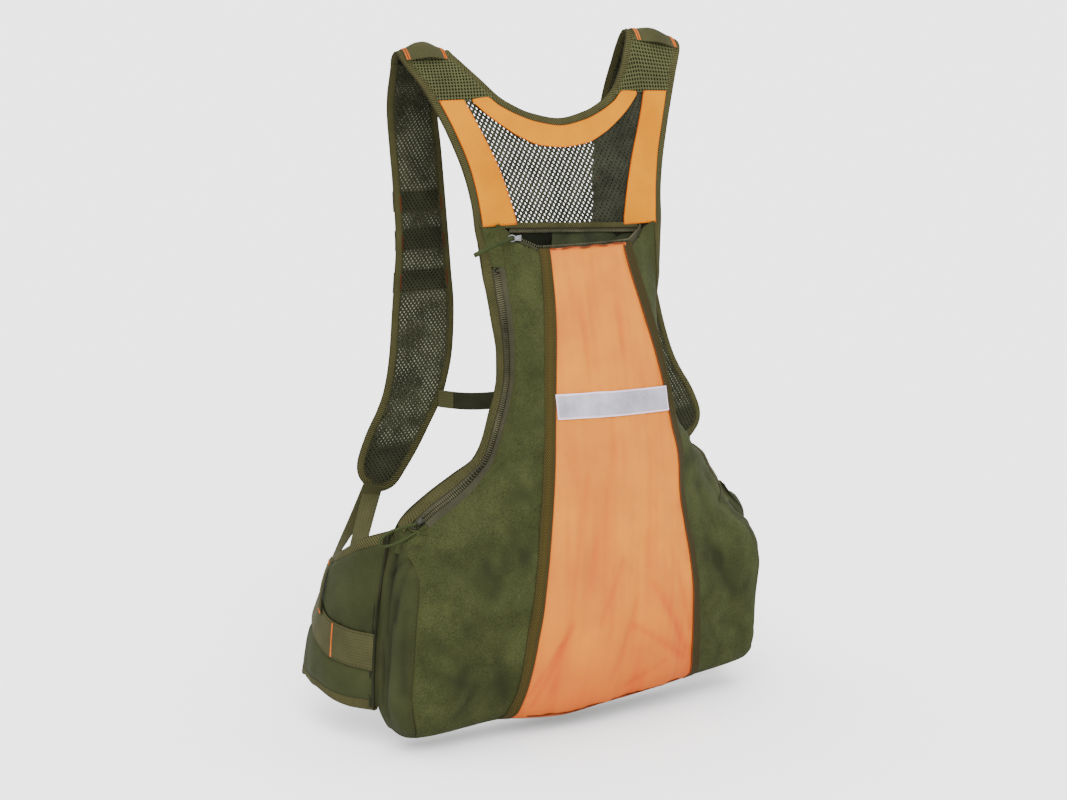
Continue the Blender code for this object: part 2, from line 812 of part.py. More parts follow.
def build_bindings():
    """The bindings along the yoke's and bag's sides and round the neck."""
    blend_low, blend_high = 462.0, 486.0
    seam = seam_outline(BINDING_END_Z, YOKE_BASE_Z)
    for side, word in SIDES:
        outline = side_outline(side, BINDING_END_Z)
        run = Path(outline)
        flat = edge_strip(outline, 0.0, BINDING_WIDTH, 0.0, side == LEFT, closer_at_start)

        def binding(u, v):
            z = HARNESS.at(run.at(run.length * closer_at_start(v)).y).y
            share = min(max((z - blend_low) / (blend_high - blend_low), 0.0), 1.0)
            on_yoke = flat(u, v)
            if share == 1.0:
                return on_yoke
            nearest = min(range(len(seam.points)), key=lambda n: abs(seam.points[n].y - z))
            spot = inset_spot(seam, seam.lengths[nearest], BINDING_WIDTH * u)
            return UNROLLED.place(spot.x, spot.y, side).lerp(on_yoke, share)

        cloth(f"side_binding_{word}", binding, 1, 30, BINDING, "binding", 0.0)
    place = edge_strip(neck_outline(), 0.0, BINDING_WIDTH, 0.0)
    cloth("neck_binding", place, 1, 24, BINDING, "binding", 0.0)


def neck_height(x):
    """The neck edge's height at a place across."""
    table = Table([Edge(row.x, row.z) for row in NECK_EDGE])
    return table.at(abs(x)).x


def build_yoke():
    """The mesh yoke, the strip at its base and the three orange bands on it."""
    sheet_half = BINDING_WIDTH + SEAM_GAP

    def mesh(u, v):
        across = 2 * u - 1
        wide = SIDE.at(PAD_START_Z).x - sheet_half - 4.0
        top = min(neck_height(across * wide) - sheet_half - 3.0, PAD_START_Z - 1.0)
        z = YOKE_BASE_Z + (top - YOKE_BASE_Z) * v
        slant = (SIDE.at(z + 2.0).x - SIDE.at(z - 2.0).x) / 4.0
        limit = SIDE.at(z).x - sheet_half * math.hypot(1.0, slant)
        return harness(across * limit, harness_distance(z, False))

    cloth("yoke_mesh", mesh, 12, 6, MESH, "mesh", 0.0)

    layer = MESH / 2 + GAP + BAND_THICKNESS

    def strip(u, v):
        x = (2 * u - 1) * (SIDE.at(BASE_STRIP_LOW_Z).x - sheet_half - SEAM_GAP)
        z = BASE_STRIP_LOW_Z + BASE_STRIP_HEIGHT * v
        return harness(x, harness_distance(z, False), layer)

    cloth("yoke_base_strip", strip, 4, 1, BAND_THICKNESS, "binding")

    for side, word in SIDES:

        def band(u, v):
            z = BAND_START_Z + BAND_HEIGHT * v
            row = ORANGE_SIDE.at(z)
            across = u if side == RIGHT else 1 - u
            x = side * (row.inner + (row.outer - row.inner) * across)
            return harness(x, harness_distance(z, False), layer)

        cloth(f"orange_band_{word}", band, 1, 6, BAND_THICKNESS, "orange_band")

    def collar(u, v):
        x = (2 * u - 1) * COLLAR_REACH
        row = ORANGE_NECK.at(abs(x))
        z = row.bottom + (row.top - row.bottom) * v
        return harness(x, harness_distance(z, False), layer)

    cloth("orange_band_neck", collar, 14, 1, BAND_THICKNESS, "orange_band")


def build_shoulders():
    """The spacer pads over the shoulders, the front straps, their bindings, bands and loops."""
    start = harness_distance(PAD_START_Z, False)
    pad_end = harness_distance(SPACER_END_Z, True)
    strap = Table(STRAP_ROWS)
    neck = Table([Edge(row.z, row.x) for row in NECK_EDGE])
    for side, word in SIDES:

        def edges(s):
            """The inner and outer edges of the shoulder at a distance along the harness."""
            z = HARNESS.at(s).y
            if s > SEAT:
                row = strap.at(z)
                return row.inner, row.outer
            return neck.at(z).x, SIDE.at(z).x

        def pad(u, v):
            s = start + (pad_end - start) * v
            inner, outer = edges(s)
            near, far = edges(s - 2.0), edges(s + 2.0)
            inner += (BINDING_WIDTH + SEAM_GAP) * math.hypot(1.0, (far[0] - near[0]) / 4.0) + 1.0
            outer -= (BINDING_WIDTH + SEAM_GAP) * math.hypot(1.0, (far[1] - near[1]) / 4.0) + 0.5
            across = u if side == RIGHT else 1 - u
            return harness(side * (inner + (outer - inner) * across), s)

        cloth(f"shoulder_pad_{word}", pad, 3, 8, SPACER_THICKNESS, "spacer", 0.0)

        outer_line, inner_line = strap_outline(side)
        outline = outer_line + list(reversed(inner_line))
        flip = side == LEFT
        place = edge_strip(outline, 0.0, STRAP_BINDING_WIDTH, 0.0, not flip, closer_at_turns)
        cloth(f"strap_binding_{word}", place, 1, 54, BINDING, "binding", 0.0)

        rim = Path(outline)
        inset = STRAP_BINDING_WIDTH + 1.0
        first = pad_end + 3.0 - SEAT

        def mesh(u, v):
            distance = first + (rim.length * 0.485 - first) * v
            ends = []
            for reach in (rim.length - distance, distance):
                heading = rim.heading(reach)
                inward = Vector((heading.y, -heading.x)) * side
                ends.append(rim.at(reach) - inward * inset)
            spot = ends[0].lerp(ends[1], u if side == RIGHT else 1 - u)
            return harness(spot.x, spot.y)

        cloth(f"strap_mesh_{word}", mesh, 3, 22, MESH, "mesh", 0.0)

        for number, z in enumerate(CROSS_BAND_HEIGHTS, 1):

            def band(u, v):
                height = z + (0.5 - v) * WEBBING_WIDTH * CROSS_BAND_SHARE
                row = strap.at(height)
                across = u if side == RIGHT else 1 - u
                x = side * (row.inner + 1.0 + (row.outer - row.inner - 2.0) * across)
                lift = BINDING / 2 + GAP + WEBBING + CROSS_BAND_BULGE * math.sin(math.pi * u)
                return harness(x, harness_distance(height, True), lift)

            cloth(f"cross_band_{word}_{number}", band, 4, 1, WEBBING, "webbing")

        def loop(u, v):
            s = SEAT + LOOP_START + LOOP_LENGTH * v
            inner, outer = edges(SEAT - 2.0 + 4.0 * v)
            across = u if side == RIGHT else 1 - u
            x = side * (inner + 1.0 + (outer - inner - 2.0) * across)
            rise = LOOP_RISE * math.sin(math.pi * u) ** 1.5
            return harness(x, s, BINDING / 2 + GAP + WEBBING + 0.5 + rise)

        cloth(f"shoulder_loop_{word}", loop, 8, 5, WEBBING, "webbing")


def wing_place(side, t, h, lift=0.0):
    """A place on a hip wing: t from 0 at its seam to 1 at its tip, h up, lift outwards."""
    low_y, high_y = WING_ROWS[0].y, WING_ROWS[-1].y
    y = low_y + (high_y - low_y) * t
    step = 2.0
    row = WINGS.at(y)
    x = row.low_x + (row.top_x - row.low_x) * h + WING_BULGE * math.sin(math.pi * h)
    z = row.low_z + (row.top_z - row.low_z) * h
    if lift:
        near, far = WINGS.at(y - step), WINGS.at(y + step)
        along = Vector(((far.low_x + far.top_x - near.low_x - near.top_x) / 2, 2 * step))
        along.normalize()
        x += along.y * lift
        y -= along.x * lift
    x -= tucked(SIDE.at(z).x, z, side)
    return at(side * x, y, z)


def wing_height(t, z):
    """The h at which a wing has a height."""
    row = WINGS.at(WING_ROWS[0].y + (WING_ROWS[-1].y - WING_ROWS[0].y) * t)
    return (z - row.low_z) / (row.top_z - row.low_z)


def wing_rim(t):
    """How far a wing's rounded end cuts in from its lower and upper edges, as a share of h."""
    return WING_ROUND * max((t - WING_ROUND_START) / (1 - WING_ROUND_START), 0.0) ** 2


def build_wings():
    """The padded hip wings, their edge bindings and the webbing bands sewn on them."""
    length = WING_ROWS[-1].y - WING_ROWS[0].y
    lower = [(t * length, wing_rim(t) * WING_HEIGHT) for t in (0.0, 0.4, 0.8, 0.9, 1.0)]
    upper = [(t, WING_HEIGHT - h) for t, h in reversed(lower)]
    run = Path([*lower, (length, WING_HEIGHT / 2), *upper])
    for side, word in SIDES:

        def pad(u, v):
            t = WING_START + WING_SPAN * (u if side == RIGHT else 1 - u)
            edge = WING_MARGIN + wing_rim(t) * 1.25
            return wing_place(side, t, edge + (1 - 2 * edge) * v)

        cloth(f"hip_wing_{word}", pad, 7, 5, PADDING, "twill")

        def binding(u, v):
            distance = run.length * v
            heading = run.heading(distance)
            inset = WING_BINDING_WIDTH * (1 - u if side == RIGHT else u)
            spot = run.at(distance) + Vector((-heading.y, heading.x)) * inset
            return wing_place(side, spot.x / length, spot.y / WING_HEIGHT, GAP)

        cloth(f"wing_binding_{word}", binding, 1, 26, PADDING + 0.6, "binding")

        def band(u, v):
            t = 0.985 * (u if side == RIGHT else 1 - u)
            z = WINGS.at(WING_ROWS[0].y + length * t).band_z
            h = wing_height(t, z + (v - 0.5) * BELT_WIDTH)
            rim_lift = 1.4 * max((t - WING_ROUND_START) / (1 - WING_ROUND_START), 0.0)
            return wing_place(side, t, h, 0.7 + GAP + WEBBING + rim_lift)

        cloth(f"wing_webbing_{word}", band, 8, 2, WEBBING, "webbing")


def ribbon(start, end, turn, sag=0.0):
    """A strip between two ends, each a pair of corners, that turns and sags between them."""

    def place(u, v):
        left = Vector(start[0]).lerp(Vector(end[0]), v)
        right = Vector(start[1]).lerp(Vector(end[1]), v)
        point = left.lerp(right, u)
        bow = math.sin(math.pi * v)
        return at(point.x + turn * bow, point.y, point.z - sag * bow)

    return place


def mirror_points(points, side):
    """Corner points written for the wearer's right side, on the side that is asked for."""
    return [(side * x, y, z) for x, y, z in points]


def build_webbing():
    """The adjusters below the front straps, the side straps and the closed hip belt."""
    for side, word in SIDES:
        rise = STRAP_RISE if side == RIGHT else 0.0
        top = [(197.0, 73.0, 224.0 + rise), (217.0, 74.4, 231.0 + rise)]
        outer_end = [(236.5, 80.0, 161.5), (238.5, 58.0, 167.0)]
        start = mirror_points(top, side)
        end = mirror_points(outer_end, side)
        if side == RIGHT:
            start.reverse()
            end.reverse()
        cloth(f"adjuster_outer_{word}", ribbon(start, end, 0.0), 1, 4, WEBBING, "webbing")
        top = [(191.0, 66.8, 222.0 + rise), (211.0, 66.8, 229.0 + rise)]
        inner_end = [(221.0, 10.0, 182.0), (233.5, 32.0, 174.0)]
        start = mirror_points(top, side)
        end = mirror_points(inner_end, side)
        if side == RIGHT:
            start.reverse()
            end.reverse()
        cloth(f"adjuster_inner_{word}", ribbon(start, end, 0.0), 1, 4, WEBBING, "webbing")

        half = SIDE_STRAP_WIDTH / 2
        start = mirror_points([(100.0, 5.6, 312.0 - half), (100.0, 5.6, 312.0 + half)], side)
        end = mirror_points([(122.0, 72.0, 306.0 - half), (121.0, 73.0, 306.0 + half)], side)
        if side == RIGHT:
            start.reverse()
            end.reverse()
        cloth(f"side_strap_{word}", ribbon(start, end, 0.0, 4.0), 1, 5, WEBBING, "webbing")

        route = []
        for row in BELT_ROUTE:
            share = (row.x - BELT_ROUTE[-1].x) / (BELT_ROUTE[0].x - BELT_ROUTE[-1].x)
            drawn = tucked(SIDE.at(row.z).x, row.z, side) * share
            route.append((side * (row.x - drawn), row.y, row.z))
        run = Path(route)

        def belt(u, v):
            point = run.at(run.length * (v if side == RIGHT else 1 - v))
            return at(point.x, point.y, point.z + (0.5 - u) * BELT_WIDTH)

        cloth(f"hip_belt_{word}", belt, 1, 8, WEBBING, "webbing", 0.0)

    def buckle(u, v, w):
        width, depth, height = BUCKLE_SIZE
        middle = BELT_ROUTE[-1]
        return at((u - 0.5) * width, middle.y + (v - 0.5) * depth, middle.z + (w - 0.5) * height)

    block("belt_buckle", buckle, "buckle", 3.0)


def build_side_zip():
    """The side zip beside the left edge: two tapes, teeth, slider, tab and cord pull."""
    outline = seam_outline(SIDE_ZIP_END_Z, SIDE_ZIP_TOP_Z)
    first = BINDING_WIDTH + SEAM_GAP
    teeth_inset = first + ZIP_TAPE_WIDTH + SEAM_GAP
    front_inset = teeth_inset + ZIP_TEETH_WIDTH + SEAM_GAP
    strips = (
        ("side_zip_tape_rear", first, ZIP_TAPE_WIDTH, "zip_tape", TAPE, 0.0),
        ("side_zip_teeth", teeth_inset, ZIP_TEETH_WIDTH, "teeth", 2.0, 0.6),
        ("side_zip_tape_front", front_inset, ZIP_TAPE_WIDTH, "zip_tape", TAPE, 0.0),
    )
    for name, inset, width, tint, thickness, lift in strips:

        def strip(u, v):
            spot = inset_spot(outline, outline.length * (1 - v), inset + width * u)
            return UNROLLED.place(spot.x, spot.y, LEFT, lift)

        cloth(name, strip, 1, 20, thickness, tint)

    cover = 2 * ZIP_TAPE_WIDTH + ZIP_TEETH_WIDTH + SEAM_GAP
    above = seam_outline(SIDE_ZIP_TOP_Z + 6.8, SIDE_ZIP_TOP_Z + 36.0)

    def tab(u, v):
        spot = inset_spot(above, above.length * (1 - v), first + cover * u)
        return UNROLLED.place(spot.x, spot.y, LEFT)

    cloth("side_zip_tab", tab, 1, 2, SUEDE, "suede")

    end = outline.length
    heading = outline.heading(end - 4.0)

    def slider(u, v, w):
        spot = inset_spot(outline, end - 4.0, teeth_inset + ZIP_TEETH_WIDTH / 2)
        along = heading * (w - 0.5) * SLIDER_LENGTH
        square = Vector((heading.y, -heading.x)) * (u - 0.5) * SLIDER_WIDTH
        spot = spot + along + square
        return UNROLLED.place(spot.x, spot.y, LEFT, 1.3 + SLIDER_HEIGHT * v)

    block("side_zip_slider", slider, "metal")
    cord("side_zip_cord_pull", SIDE_PULL, SIDE_PULL_DIAMETER, "cord")


def build_top_zip():
    """The open zip across the bag's top: two tapes with teeth, slider, pull and inner fold."""
    left, right = -TOP_ZIP_LEFT, TOP_ZIP_RIGHT
    rear = (
        ("top_zip_tape_rear", 477.3, 481.4, "zip_tape", TAPE, 0.0),
        ("top_zip_teeth_rear", 473.8, 477.0, "teeth", 2.0, 0.4),
    )
    for name, low, high, tint, thickness, lift in rear:

        def strip(u, v):
            z = low + (high - low) * v
            return harness(left + (right - left) * u, harness_distance(z, False), lift)

        cloth(name, strip, 5, 1, thickness, tint)
    behind = -(SUEDE + GAP + 0.4)
    front = (
        ("top_zip_tape_front", -9.0, 1.0, "zip_tape", TAPE, behind),
        ("top_zip_teeth_front", 1.3, 4.0, "teeth", 2.0, behind + 0.4),
    )
    for name, low, high, tint, thickness, lift in front:

        def strip(u, v):
            run = left + (right - left) * u
            z = mouth_height(abs(run)) + low + (high - low) * v
            return UNROLLED.place(abs(run), z, LEFT if run < 0 else RIGHT, lift)

        cloth(name, strip, 14, 1, thickness, tint)

    def fold(u, v):
        x = INNER_FOLD_LEFT_X + INNER_FOLD_WIDTH * u
        bow = INNER_FOLD_BOW * math.sin(math.pi * v) * math.sin(math.pi * u)
        low, high = Vector((x, 2.0, 446.0)), Vector((x, 7.4, 473.2))
        spot = low.lerp(high, v)
        return at(spot.x, spot.y - bow, spot.z)

    cloth("mouth_inner_fold", fold, 6, 3, TWILL, "lining")

    def slider(u, v, w):
        run = TOP_ZIP_LEFT + 1.5 + SLIDER_LENGTH * (1 - u)
        z = 478.0 + (w - 0.5) * SLIDER_WIDTH
        return UNROLLED.place(run, z, LEFT, GAP + 0.4 + SLIDER_HEIGHT * (1 - v))

    block("top_zip_slider", slider, "metal")
    cord("top_zip_cord_pull", TOP_PULL, TOP_PULL_DIAMETER, "cord")


def clear_scene():
    """An empty scene with one collection for the rucksack."""
    for thing in list(bpy.data.objects):
        bpy.data.objects.remove(thing, do_unlink=True)
    collection = bpy.data.collections.new("suede_rucksack")
    bpy.context.scene.collection.children.link(collection)


def main():
    """Build every piece of the rucksack."""
    clear_scene()
    build_front()
    build_gussets_and_bottom()
    build_back()
    build_bindings()
    build_yoke()
    build_shoulders()
    build_wings()
    build_webbing()
    build_side_zip()
    build_top_zip()


main()
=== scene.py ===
"""The worn suede rucksack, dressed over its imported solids: cloth, nets, bindings, zips, stitches.

Places are written in millimetres as the solids were drawn: x across to the wearer's right, y from
the bag's outer face towards the wearer, z up. to_part() moves them to the part's frame in metres.
"""

import logging
import math
from collections.abc import Callable, Sequence
from dataclasses import dataclass, field, replace
from enum import Enum

import bpy
import numpy as np
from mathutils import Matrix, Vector


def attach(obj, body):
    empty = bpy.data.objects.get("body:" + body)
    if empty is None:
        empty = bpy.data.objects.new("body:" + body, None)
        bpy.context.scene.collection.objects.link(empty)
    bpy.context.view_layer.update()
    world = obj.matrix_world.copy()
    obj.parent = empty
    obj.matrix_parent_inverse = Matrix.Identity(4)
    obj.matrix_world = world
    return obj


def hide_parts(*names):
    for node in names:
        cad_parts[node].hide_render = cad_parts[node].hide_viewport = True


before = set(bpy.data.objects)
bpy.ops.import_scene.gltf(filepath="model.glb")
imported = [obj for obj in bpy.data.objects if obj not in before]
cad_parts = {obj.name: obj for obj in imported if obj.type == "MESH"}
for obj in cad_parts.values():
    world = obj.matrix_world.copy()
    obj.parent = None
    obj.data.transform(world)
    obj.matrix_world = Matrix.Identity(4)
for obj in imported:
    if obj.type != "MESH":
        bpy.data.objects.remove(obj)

LOG = logging.getLogger("rucksack")
Array = np.ndarray
Place = Callable[[Array, Array, Array], Array]
Sheet = Callable[[Array, Array], Array]
Piece = bpy.types.Object
Socket = bpy.types.NodeSocket
Pair = tuple[float, float]
Triple = tuple[float, float, float]
Rows = Sequence[Sequence[float]]

MM = 0.001
SEAT_Y, SEAT_Z = 62.0, 668.0
BINDING_WIDTH = 10.0
STRAP_BINDING_WIDTH = 9.0
BELT_WIDTH = 38.0
BAG_LOW_Z = -6.0
MOUTH_Z = 466.0
BASE_Z = 481.5
YOKE_BASE_Z = 488.0
PAD_START_Z = 616.0
BINDING_END_Z = 199.0
WING_LENGTH, WING_HEIGHT = 148.0, 130.0
LOW_ROUND, HIGH_ROUND = 0.02, 0.11
LEFT, RIGHT = -1, 1
SIDES = ((LEFT, "left"), (RIGHT, "right"))

HARNESS_PROFILE = (
    (0, 0), (1, 200), (2, 400), (5, 440), (9, 485), (13, 514), (19, 548), (28, 586), (36, 613),
    (42, 632), (49, 648), (55, 661), (62, 668), (70, 663), (77, 652), (86, 636), (94, 620),
    (100, 598), (102.5, 563), (102, 525), (98, 472), (94, 435), (87.6, 400), (81, 354), (77, 322),
    (74, 290), (71.5, 260), (70, 210),
)
SIDE_EDGE = (
    (0, 245), (50, 243), (91, 241), (141, 236), (182, 225), (196, 219), (206, 211), (225, 183),
    (242, 151), (254, 128), (271, 117), (302, 107), (318, 101.5), (337, 98), (358, 98), (395, 104),
    (440, 112), (485, 117), (514, 119), (548, 126), (586, 139), (613, 151), (632, 160), (648, 169),
    (661, 175), (668, 176),
)
NECK_EDGE = (
    (594, 0), (600, 33), (608, 53), (619, 71), (637, 89), (653, 103), (664, 112), (668, 114),
)
STRAP_ROWS = (
    (217, 189, 197), (220, 180, 206), (225, 173.5, 212), (234, 166, 219), (245, 157.5, 221.4),
    (258, 148, 218.5), (279, 134, 208.5), (301, 119.5, 194.5), (322, 110, 184.7), (354, 100, 176),
    (400, 93.5, 168), (435, 92.4, 161), (472, 93, 156.5), (525, 95.2, 157), (563, 98.4, 160),
    (600, 104.3, 164.5), (641, 110.5, 170.5), (660, 113.5, 175), (668, 114, 176),
)
BAG_SECTIONS = (
    (-8, -62, 114, -52, 127, -51, 222, -44, 22),
    (5, -75, 112.5, -64, 125, -61, 230, -50, 21),
    (30, -84, 107, -73, 118.5, -71, 234, -55, 20),
    (70, -91, 101, -81, 112.5, -77, 232, -56, 18),
    (110, -93, 95.5, -85, 106.5, -79, 227, -53, 11),
    (150, -92, 89.5, -84, 100, -77.5, 218, -45, 5),
    (180, -90.5, 85, -82, 95.5, -75, 207, -34, 1),
    (200, -89, 82, -80, 93, -73, 190, -32, 0),
    (225, -87, 79.5, -79, 89.5, -71.5, 150, -42, 0),
    (250, -84, 76.5, -76.5, 86.5, -69, 118, -46, 0),
    (290, -77, 71.5, -70, 81.5, -65, 100, -38, 0),
    (340, -66, 64.5, -60.5, 75.5, -56, 90, -30, 0),
    (395, -49, 54.5, -46, 66.5, -42, 88, -22, 0),
    (440, -33, 48, -30, 59.5, -27, 89, -10, 0),
    (468, -24, 45.6, -20, 57, -16, 90, -2, 0),
    (488, -12, 45, -8, 57, -4, 90, 3, 0),
)
LOWER_EDGE = (
    (-245, -3), (-225, -6), (-130, -1.5), (-95, -5.5), (-56, -8), (0, -3), (88, 0.5), (150, 4.5), (225, 11),
)
RIGHT_DRAW = (
    (-8, 0, 0), (0, 6, 2), (10, 12, 3), (30, 15, 3), (70, 14, 3), (90, 12, 2), (110, 9.5, 0), (130, 11, 0),
    (150, 18, 0), (160, 29, 4), (170, 37, 12), (180, 40, 20), (190, 38, 25), (200, 34, 27), (210, 28, 24),
    (220, 19, 15), (230, 8, 5), (240, -1, 0), (255, -4, -2), (275, 0, 0),
)
FOLDS = (
    (-150, 20, -120, 90, 16, 4), (-200, 30, -185, 120, 20, -4), (-60, 30, -35, 190, 14, 3),
    (10, 15, 25, 160, 16, 4), (70, 20, 50, 130, 14, -3), (160, 30, 130, 130, 18, 4),
    (-20, 330, 10, 450, 12, 3),
)
SIDE_BAND = (
    (489, 67, 106.5), (515, 73, 109), (550, 84, 115.5), (585, 99, 127.5), (615.5, 113, 140.5),
)
NECK_BAND = (
    (-29, 587, 567), (0, 582.5, 564), (29, 587, 567), (52, 595, 576), (72, 605.5, 588), (86, 615.5, 598),
    (104, 615.5, 613.5),
)
WING_ROWS = (
    (2, 224, 193, 246, 9, 70), (30, 243, 181, 258, 8, 72), (60, 246, 165, 266, 12, 76),
    (90, 238, 152, 265, 15.5, 84), (120, 222, 143, 257, 14.5, 89), (150, 200, 134, 247, 14, 94),
)
BELT_ROUTE = (
    (214, 152.5, 94), (186, 182, 97), (144, 206, 100), (90, 221, 102), (32.4, 227, 103),
)
ADJUSTERS = {
    ("outer", LEFT): (((193, 65, 222), (217, 65, 230)), ((235, 97, 144), (226.5, 119, 138))),
    ("outer", RIGHT): (((179, 65, 231), (203, 65, 239)), ((219, 119, 138), (230, 97, 144.5))),
    ("inner", LEFT): (((189, 74, 222), (210, 74.4, 229)), ((232, 36, 172.5), (237.5, 60, 166.5))),
    ("inner", RIGHT): (((175, 74, 231), (196, 74.4, 238)), ((221, 36, 170), (228, 60, 161))),
}
SIDE_STRAP = (((88, 4.8, 303), (88, 4.8, 321)), ((122, 72, 297), (121, 73, 315)))
TOP_PULL = (
    (-83.2, -6.4, 478), (-96, -13, 476.5), (-110, -14, 473), (-132, -14, 465),
)
SIDE_PULL = (
    (-206, -20, 202), (-220, -19, 200), (-235, -17, 197), (-245, -15, 190), (-245, -15, 184),
    (-237, -17, 183), (-224, -20, 187), (-209, -24, 194),
)


def to_part(points: Array) -> Array:
    """Millimetres on the bag as metres in the part's frame."""
    return (np.asarray(points, float) - (0.0, SEAT_Y, SEAT_Z)) * MM


def unit(vectors: Array) -> Array:
    """Vectors of the same directions, each one long."""
    return vectors / np.maximum(np.linalg.norm(vectors, axis=-1, keepdims=True), 1e-9)


def stack(*columns: Array) -> Array:
    """Columns of numbers side by side, single numbers repeated."""
    return np.stack(np.broadcast_arrays(*columns), axis=-1).astype(float)


def capped(values: Array) -> Array:
    """Values held from 0 to 1."""
    return np.clip(values, 0.0, 1.0)


def outward(share: Array, side: int) -> Array:
    """Shares across a piece, counted from the middle of the bag out on either side."""
    return share if side == RIGHT else 1 - share


class Table:
    """Rows of numbers, read at any key as smooth curves that never overshoot."""

    def __init__(self, rows: Rows) -> None:
        """Reads the rows."""
        data = np.array(rows, float)
        self.keys, self.columns = data[:, 0], data[:, 1:]
        rates = np.diff(self.columns, axis=0) / np.diff(self.keys)[:, None]
        before, after = rates[:-1], rates[1:]
        total = np.where(before + after == 0, 1.0, before + after)
        middle = np.where(before * after > 0, 2 * before * after / total, 0.0)
        self.slopes = np.vstack([rates[:1], middle, rates[-1:]])

    def at(self, key: Array) -> tuple[Array, ...]:
        """The columns at a key, held at the first and last rows.

        Args:
            key: Keys.

        Returns:
            One array for each column.
        """
        key = np.clip(np.asarray(key, float), self.keys[0], self.keys[-1])
        i = np.clip(np.searchsorted(self.keys, key, "right") - 1, 0, len(self.keys) - 2)
        step = (self.keys[i + 1] - self.keys[i])[..., None]
        t = (key - self.keys[i])[..., None] / step
        row = self.columns[i] * (1 + 2 * t) * (1 - t) ** 2 + self.columns[i + 1] * t * t * (3 - 2 * t)
        row = row + self.slopes[i] * step * t * (1 - t) ** 2
        row = row + self.slopes[i + 1] * step * t * t * (t - 1)
        return tuple(np.moveaxis(row, -1, 0))


class Route:
    """A smooth curve through points, read by the distance along it."""

    def __init__(self, points: Rows, steps: int = 12) -> None:
        """Draws the curve in steps."""
        points = np.array(points, float)
        padded = np.vstack([2 * points[0] - points[1], points, 2 * points[-1] - points[-2]])
        place = np.linspace(0, len(points) - 1, steps * (len(points) - 1) + 1)
        i = np.minimum(place.astype(int), len(points) - 2)
        self.points = blend([padded[i + n] for n in range(4)], (place - i)[:, None])
        gaps = np.linalg.norm(np.diff(self.points, axis=0), axis=1)
        self.lengths = np.concatenate([[0.0], np.cumsum(gaps)])
        self.length = float(self.lengths[-1])

    def at(self, distance: Array) -> Array:
        """The points at distances along the curve."""
        return stack(*(np.interp(distance, self.lengths, column) for column in self.points.T))

    def heading(self, distance: Array) -> Array:
        """The curve's directions at distances along it."""
        distance = np.asarray(distance, float)
        return unit(self.at(distance + 1.0) - self.at(distance - 1.0))


def blend(near: Sequence[Array], part: Array) -> Array:
    """Places on a smooth curve between the middle two of four points in a row.

    Args:
        near: The point before, the two points and the point after.
        part: The share of the way from the first of the two to the second.

    Returns:
        The places.
    """
    before, a, b, after = near
    mixed = b * (3 * part**2 - 2 * part**3) + a * (1 - 3 * part**2 + 2 * part**3)
    mixed = mixed + (b - before) * 0.5 * part * (1 - part) ** 2
    return mixed + (after - a) * 0.5 * part**2 * (part - 1)


SIDE, BAG, LOWER = Table(SIDE_EDGE), Table(BAG_SECTIONS), Table(LOWER_EDGE)
DRAWN = Table(RIGHT_DRAW)
ORANGE_SIDE, ORANGE_NECK = Table(SIDE_BAND), Table(NECK_BAND)
WINGS, STRAP = Table(WING_ROWS), Table(STRAP_ROWS)
HARNESS = Route(HARNESS_PROFILE)
PEAK = int(np.argmax(HARNESS.points[:, 1]))
SEAT = float(HARNESS.lengths[PEAK])


def harness_distance(z: Array, front: bool = False) -> Array:
    """How far along the harness profile heights lie, on its back or its front.

    Args:
        z: Heights.
        front: Whether they are on the straps, past the shoulders' peak.

    Returns:
        The distances.
    """
    rows = slice(PEAK, None) if front else slice(0, PEAK + 1)
    heights, lengths = HARNESS.points[rows, 1], HARNESS.lengths[rows]
    order = np.argsort(heights)
    return np.interp(z, heights[order], lengths[order])


def shoulder_lean(x: Array, s: Array) -> tuple[Array, Array]:
    """How far the right shoulder leans towards the neck, and how far each shoulder rises.

    Args:
        x: Places across.
        s: Distances along the profile.

    Returns:
        The lean and the rise.
    """
    reach = np.exp(-(((s - SEAT) / 45.0) ** 2))
    inner = capped((178.0 - x) / 66.0)
    share = reach * inner * capped((x - 60.0) / 52.0)
    rise = 14.0 * share + np.where((s > SEAT) & (x > 60.0), 9.0 * (1 - reach), 0.0)
    sink = 4.5 * np.exp(-(((s - SEAT) / 32.0) ** 2)) * capped((-x - 60.0) / 52.0)
    return 8.0 * share, rise - sink


def harness(x: Array, s: Array, lift: Array = 0.0) -> Array:
    """Places on the harness: x across, s along its profile, lift out from the wearer.

    Args:
        x: Places across.
        s: Distances along the profile.
        lift: How far out they lie.

    Returns:
        The places.
    """
    point, heading = HARNESS.at(s), HARNESS.heading(s)
    lean, rise = shoulder_lean(x, s)
    y = point[..., 0] - heading[..., 1] * lift
    return stack(x - lean, y, point[..., 1] + heading[..., 0] * lift + rise)


def back_y(z: Array) -> Array:
    """The depth of the back's plane at heights."""
    return HARNESS.at(harness_distance(z))[..., 0]


def fold_depth(x: Array, z: Array) -> Array:
    """How far the bag's large soft folds press its front in.

    Args:
        x: Places across.
        z: Heights.

    Returns:
        The depths.
    """
    depth = np.zeros(np.shape(x))
    for x1, z1, x2, z2, width, fold in FOLDS:
        away = line_distance(x, z, (x1, z1), (x2, z2)) / width
        depth = depth + fold * np.exp(-away * away)
    return depth


def line_distance(x: Array, z: Array, a: Sequence[float], b: Sequence[float]) -> Array:
    """How far places lie from a straight line between two places.

    Args:
        x: Places across.
        z: Heights.
        a: The line's start.
        b: Its end.

    Returns:
        The distances.
    """
    along = np.subtract(b, a)
    t = ((x - a[0]) * along[0] + (z - a[1]) * along[1]) / float(along @ along)
    t = capped(t)
    return np.hypot(x - a[0] - along[0] * t, z - a[1] - along[1] * t)


def lower_rise(x: Array, z: Array) -> Array:
    """How far the bag's uneven lower edge lifts places, fading out above it."""
    return LOWER.at(x)[0] * capped(1 - z / 160.0) ** 2


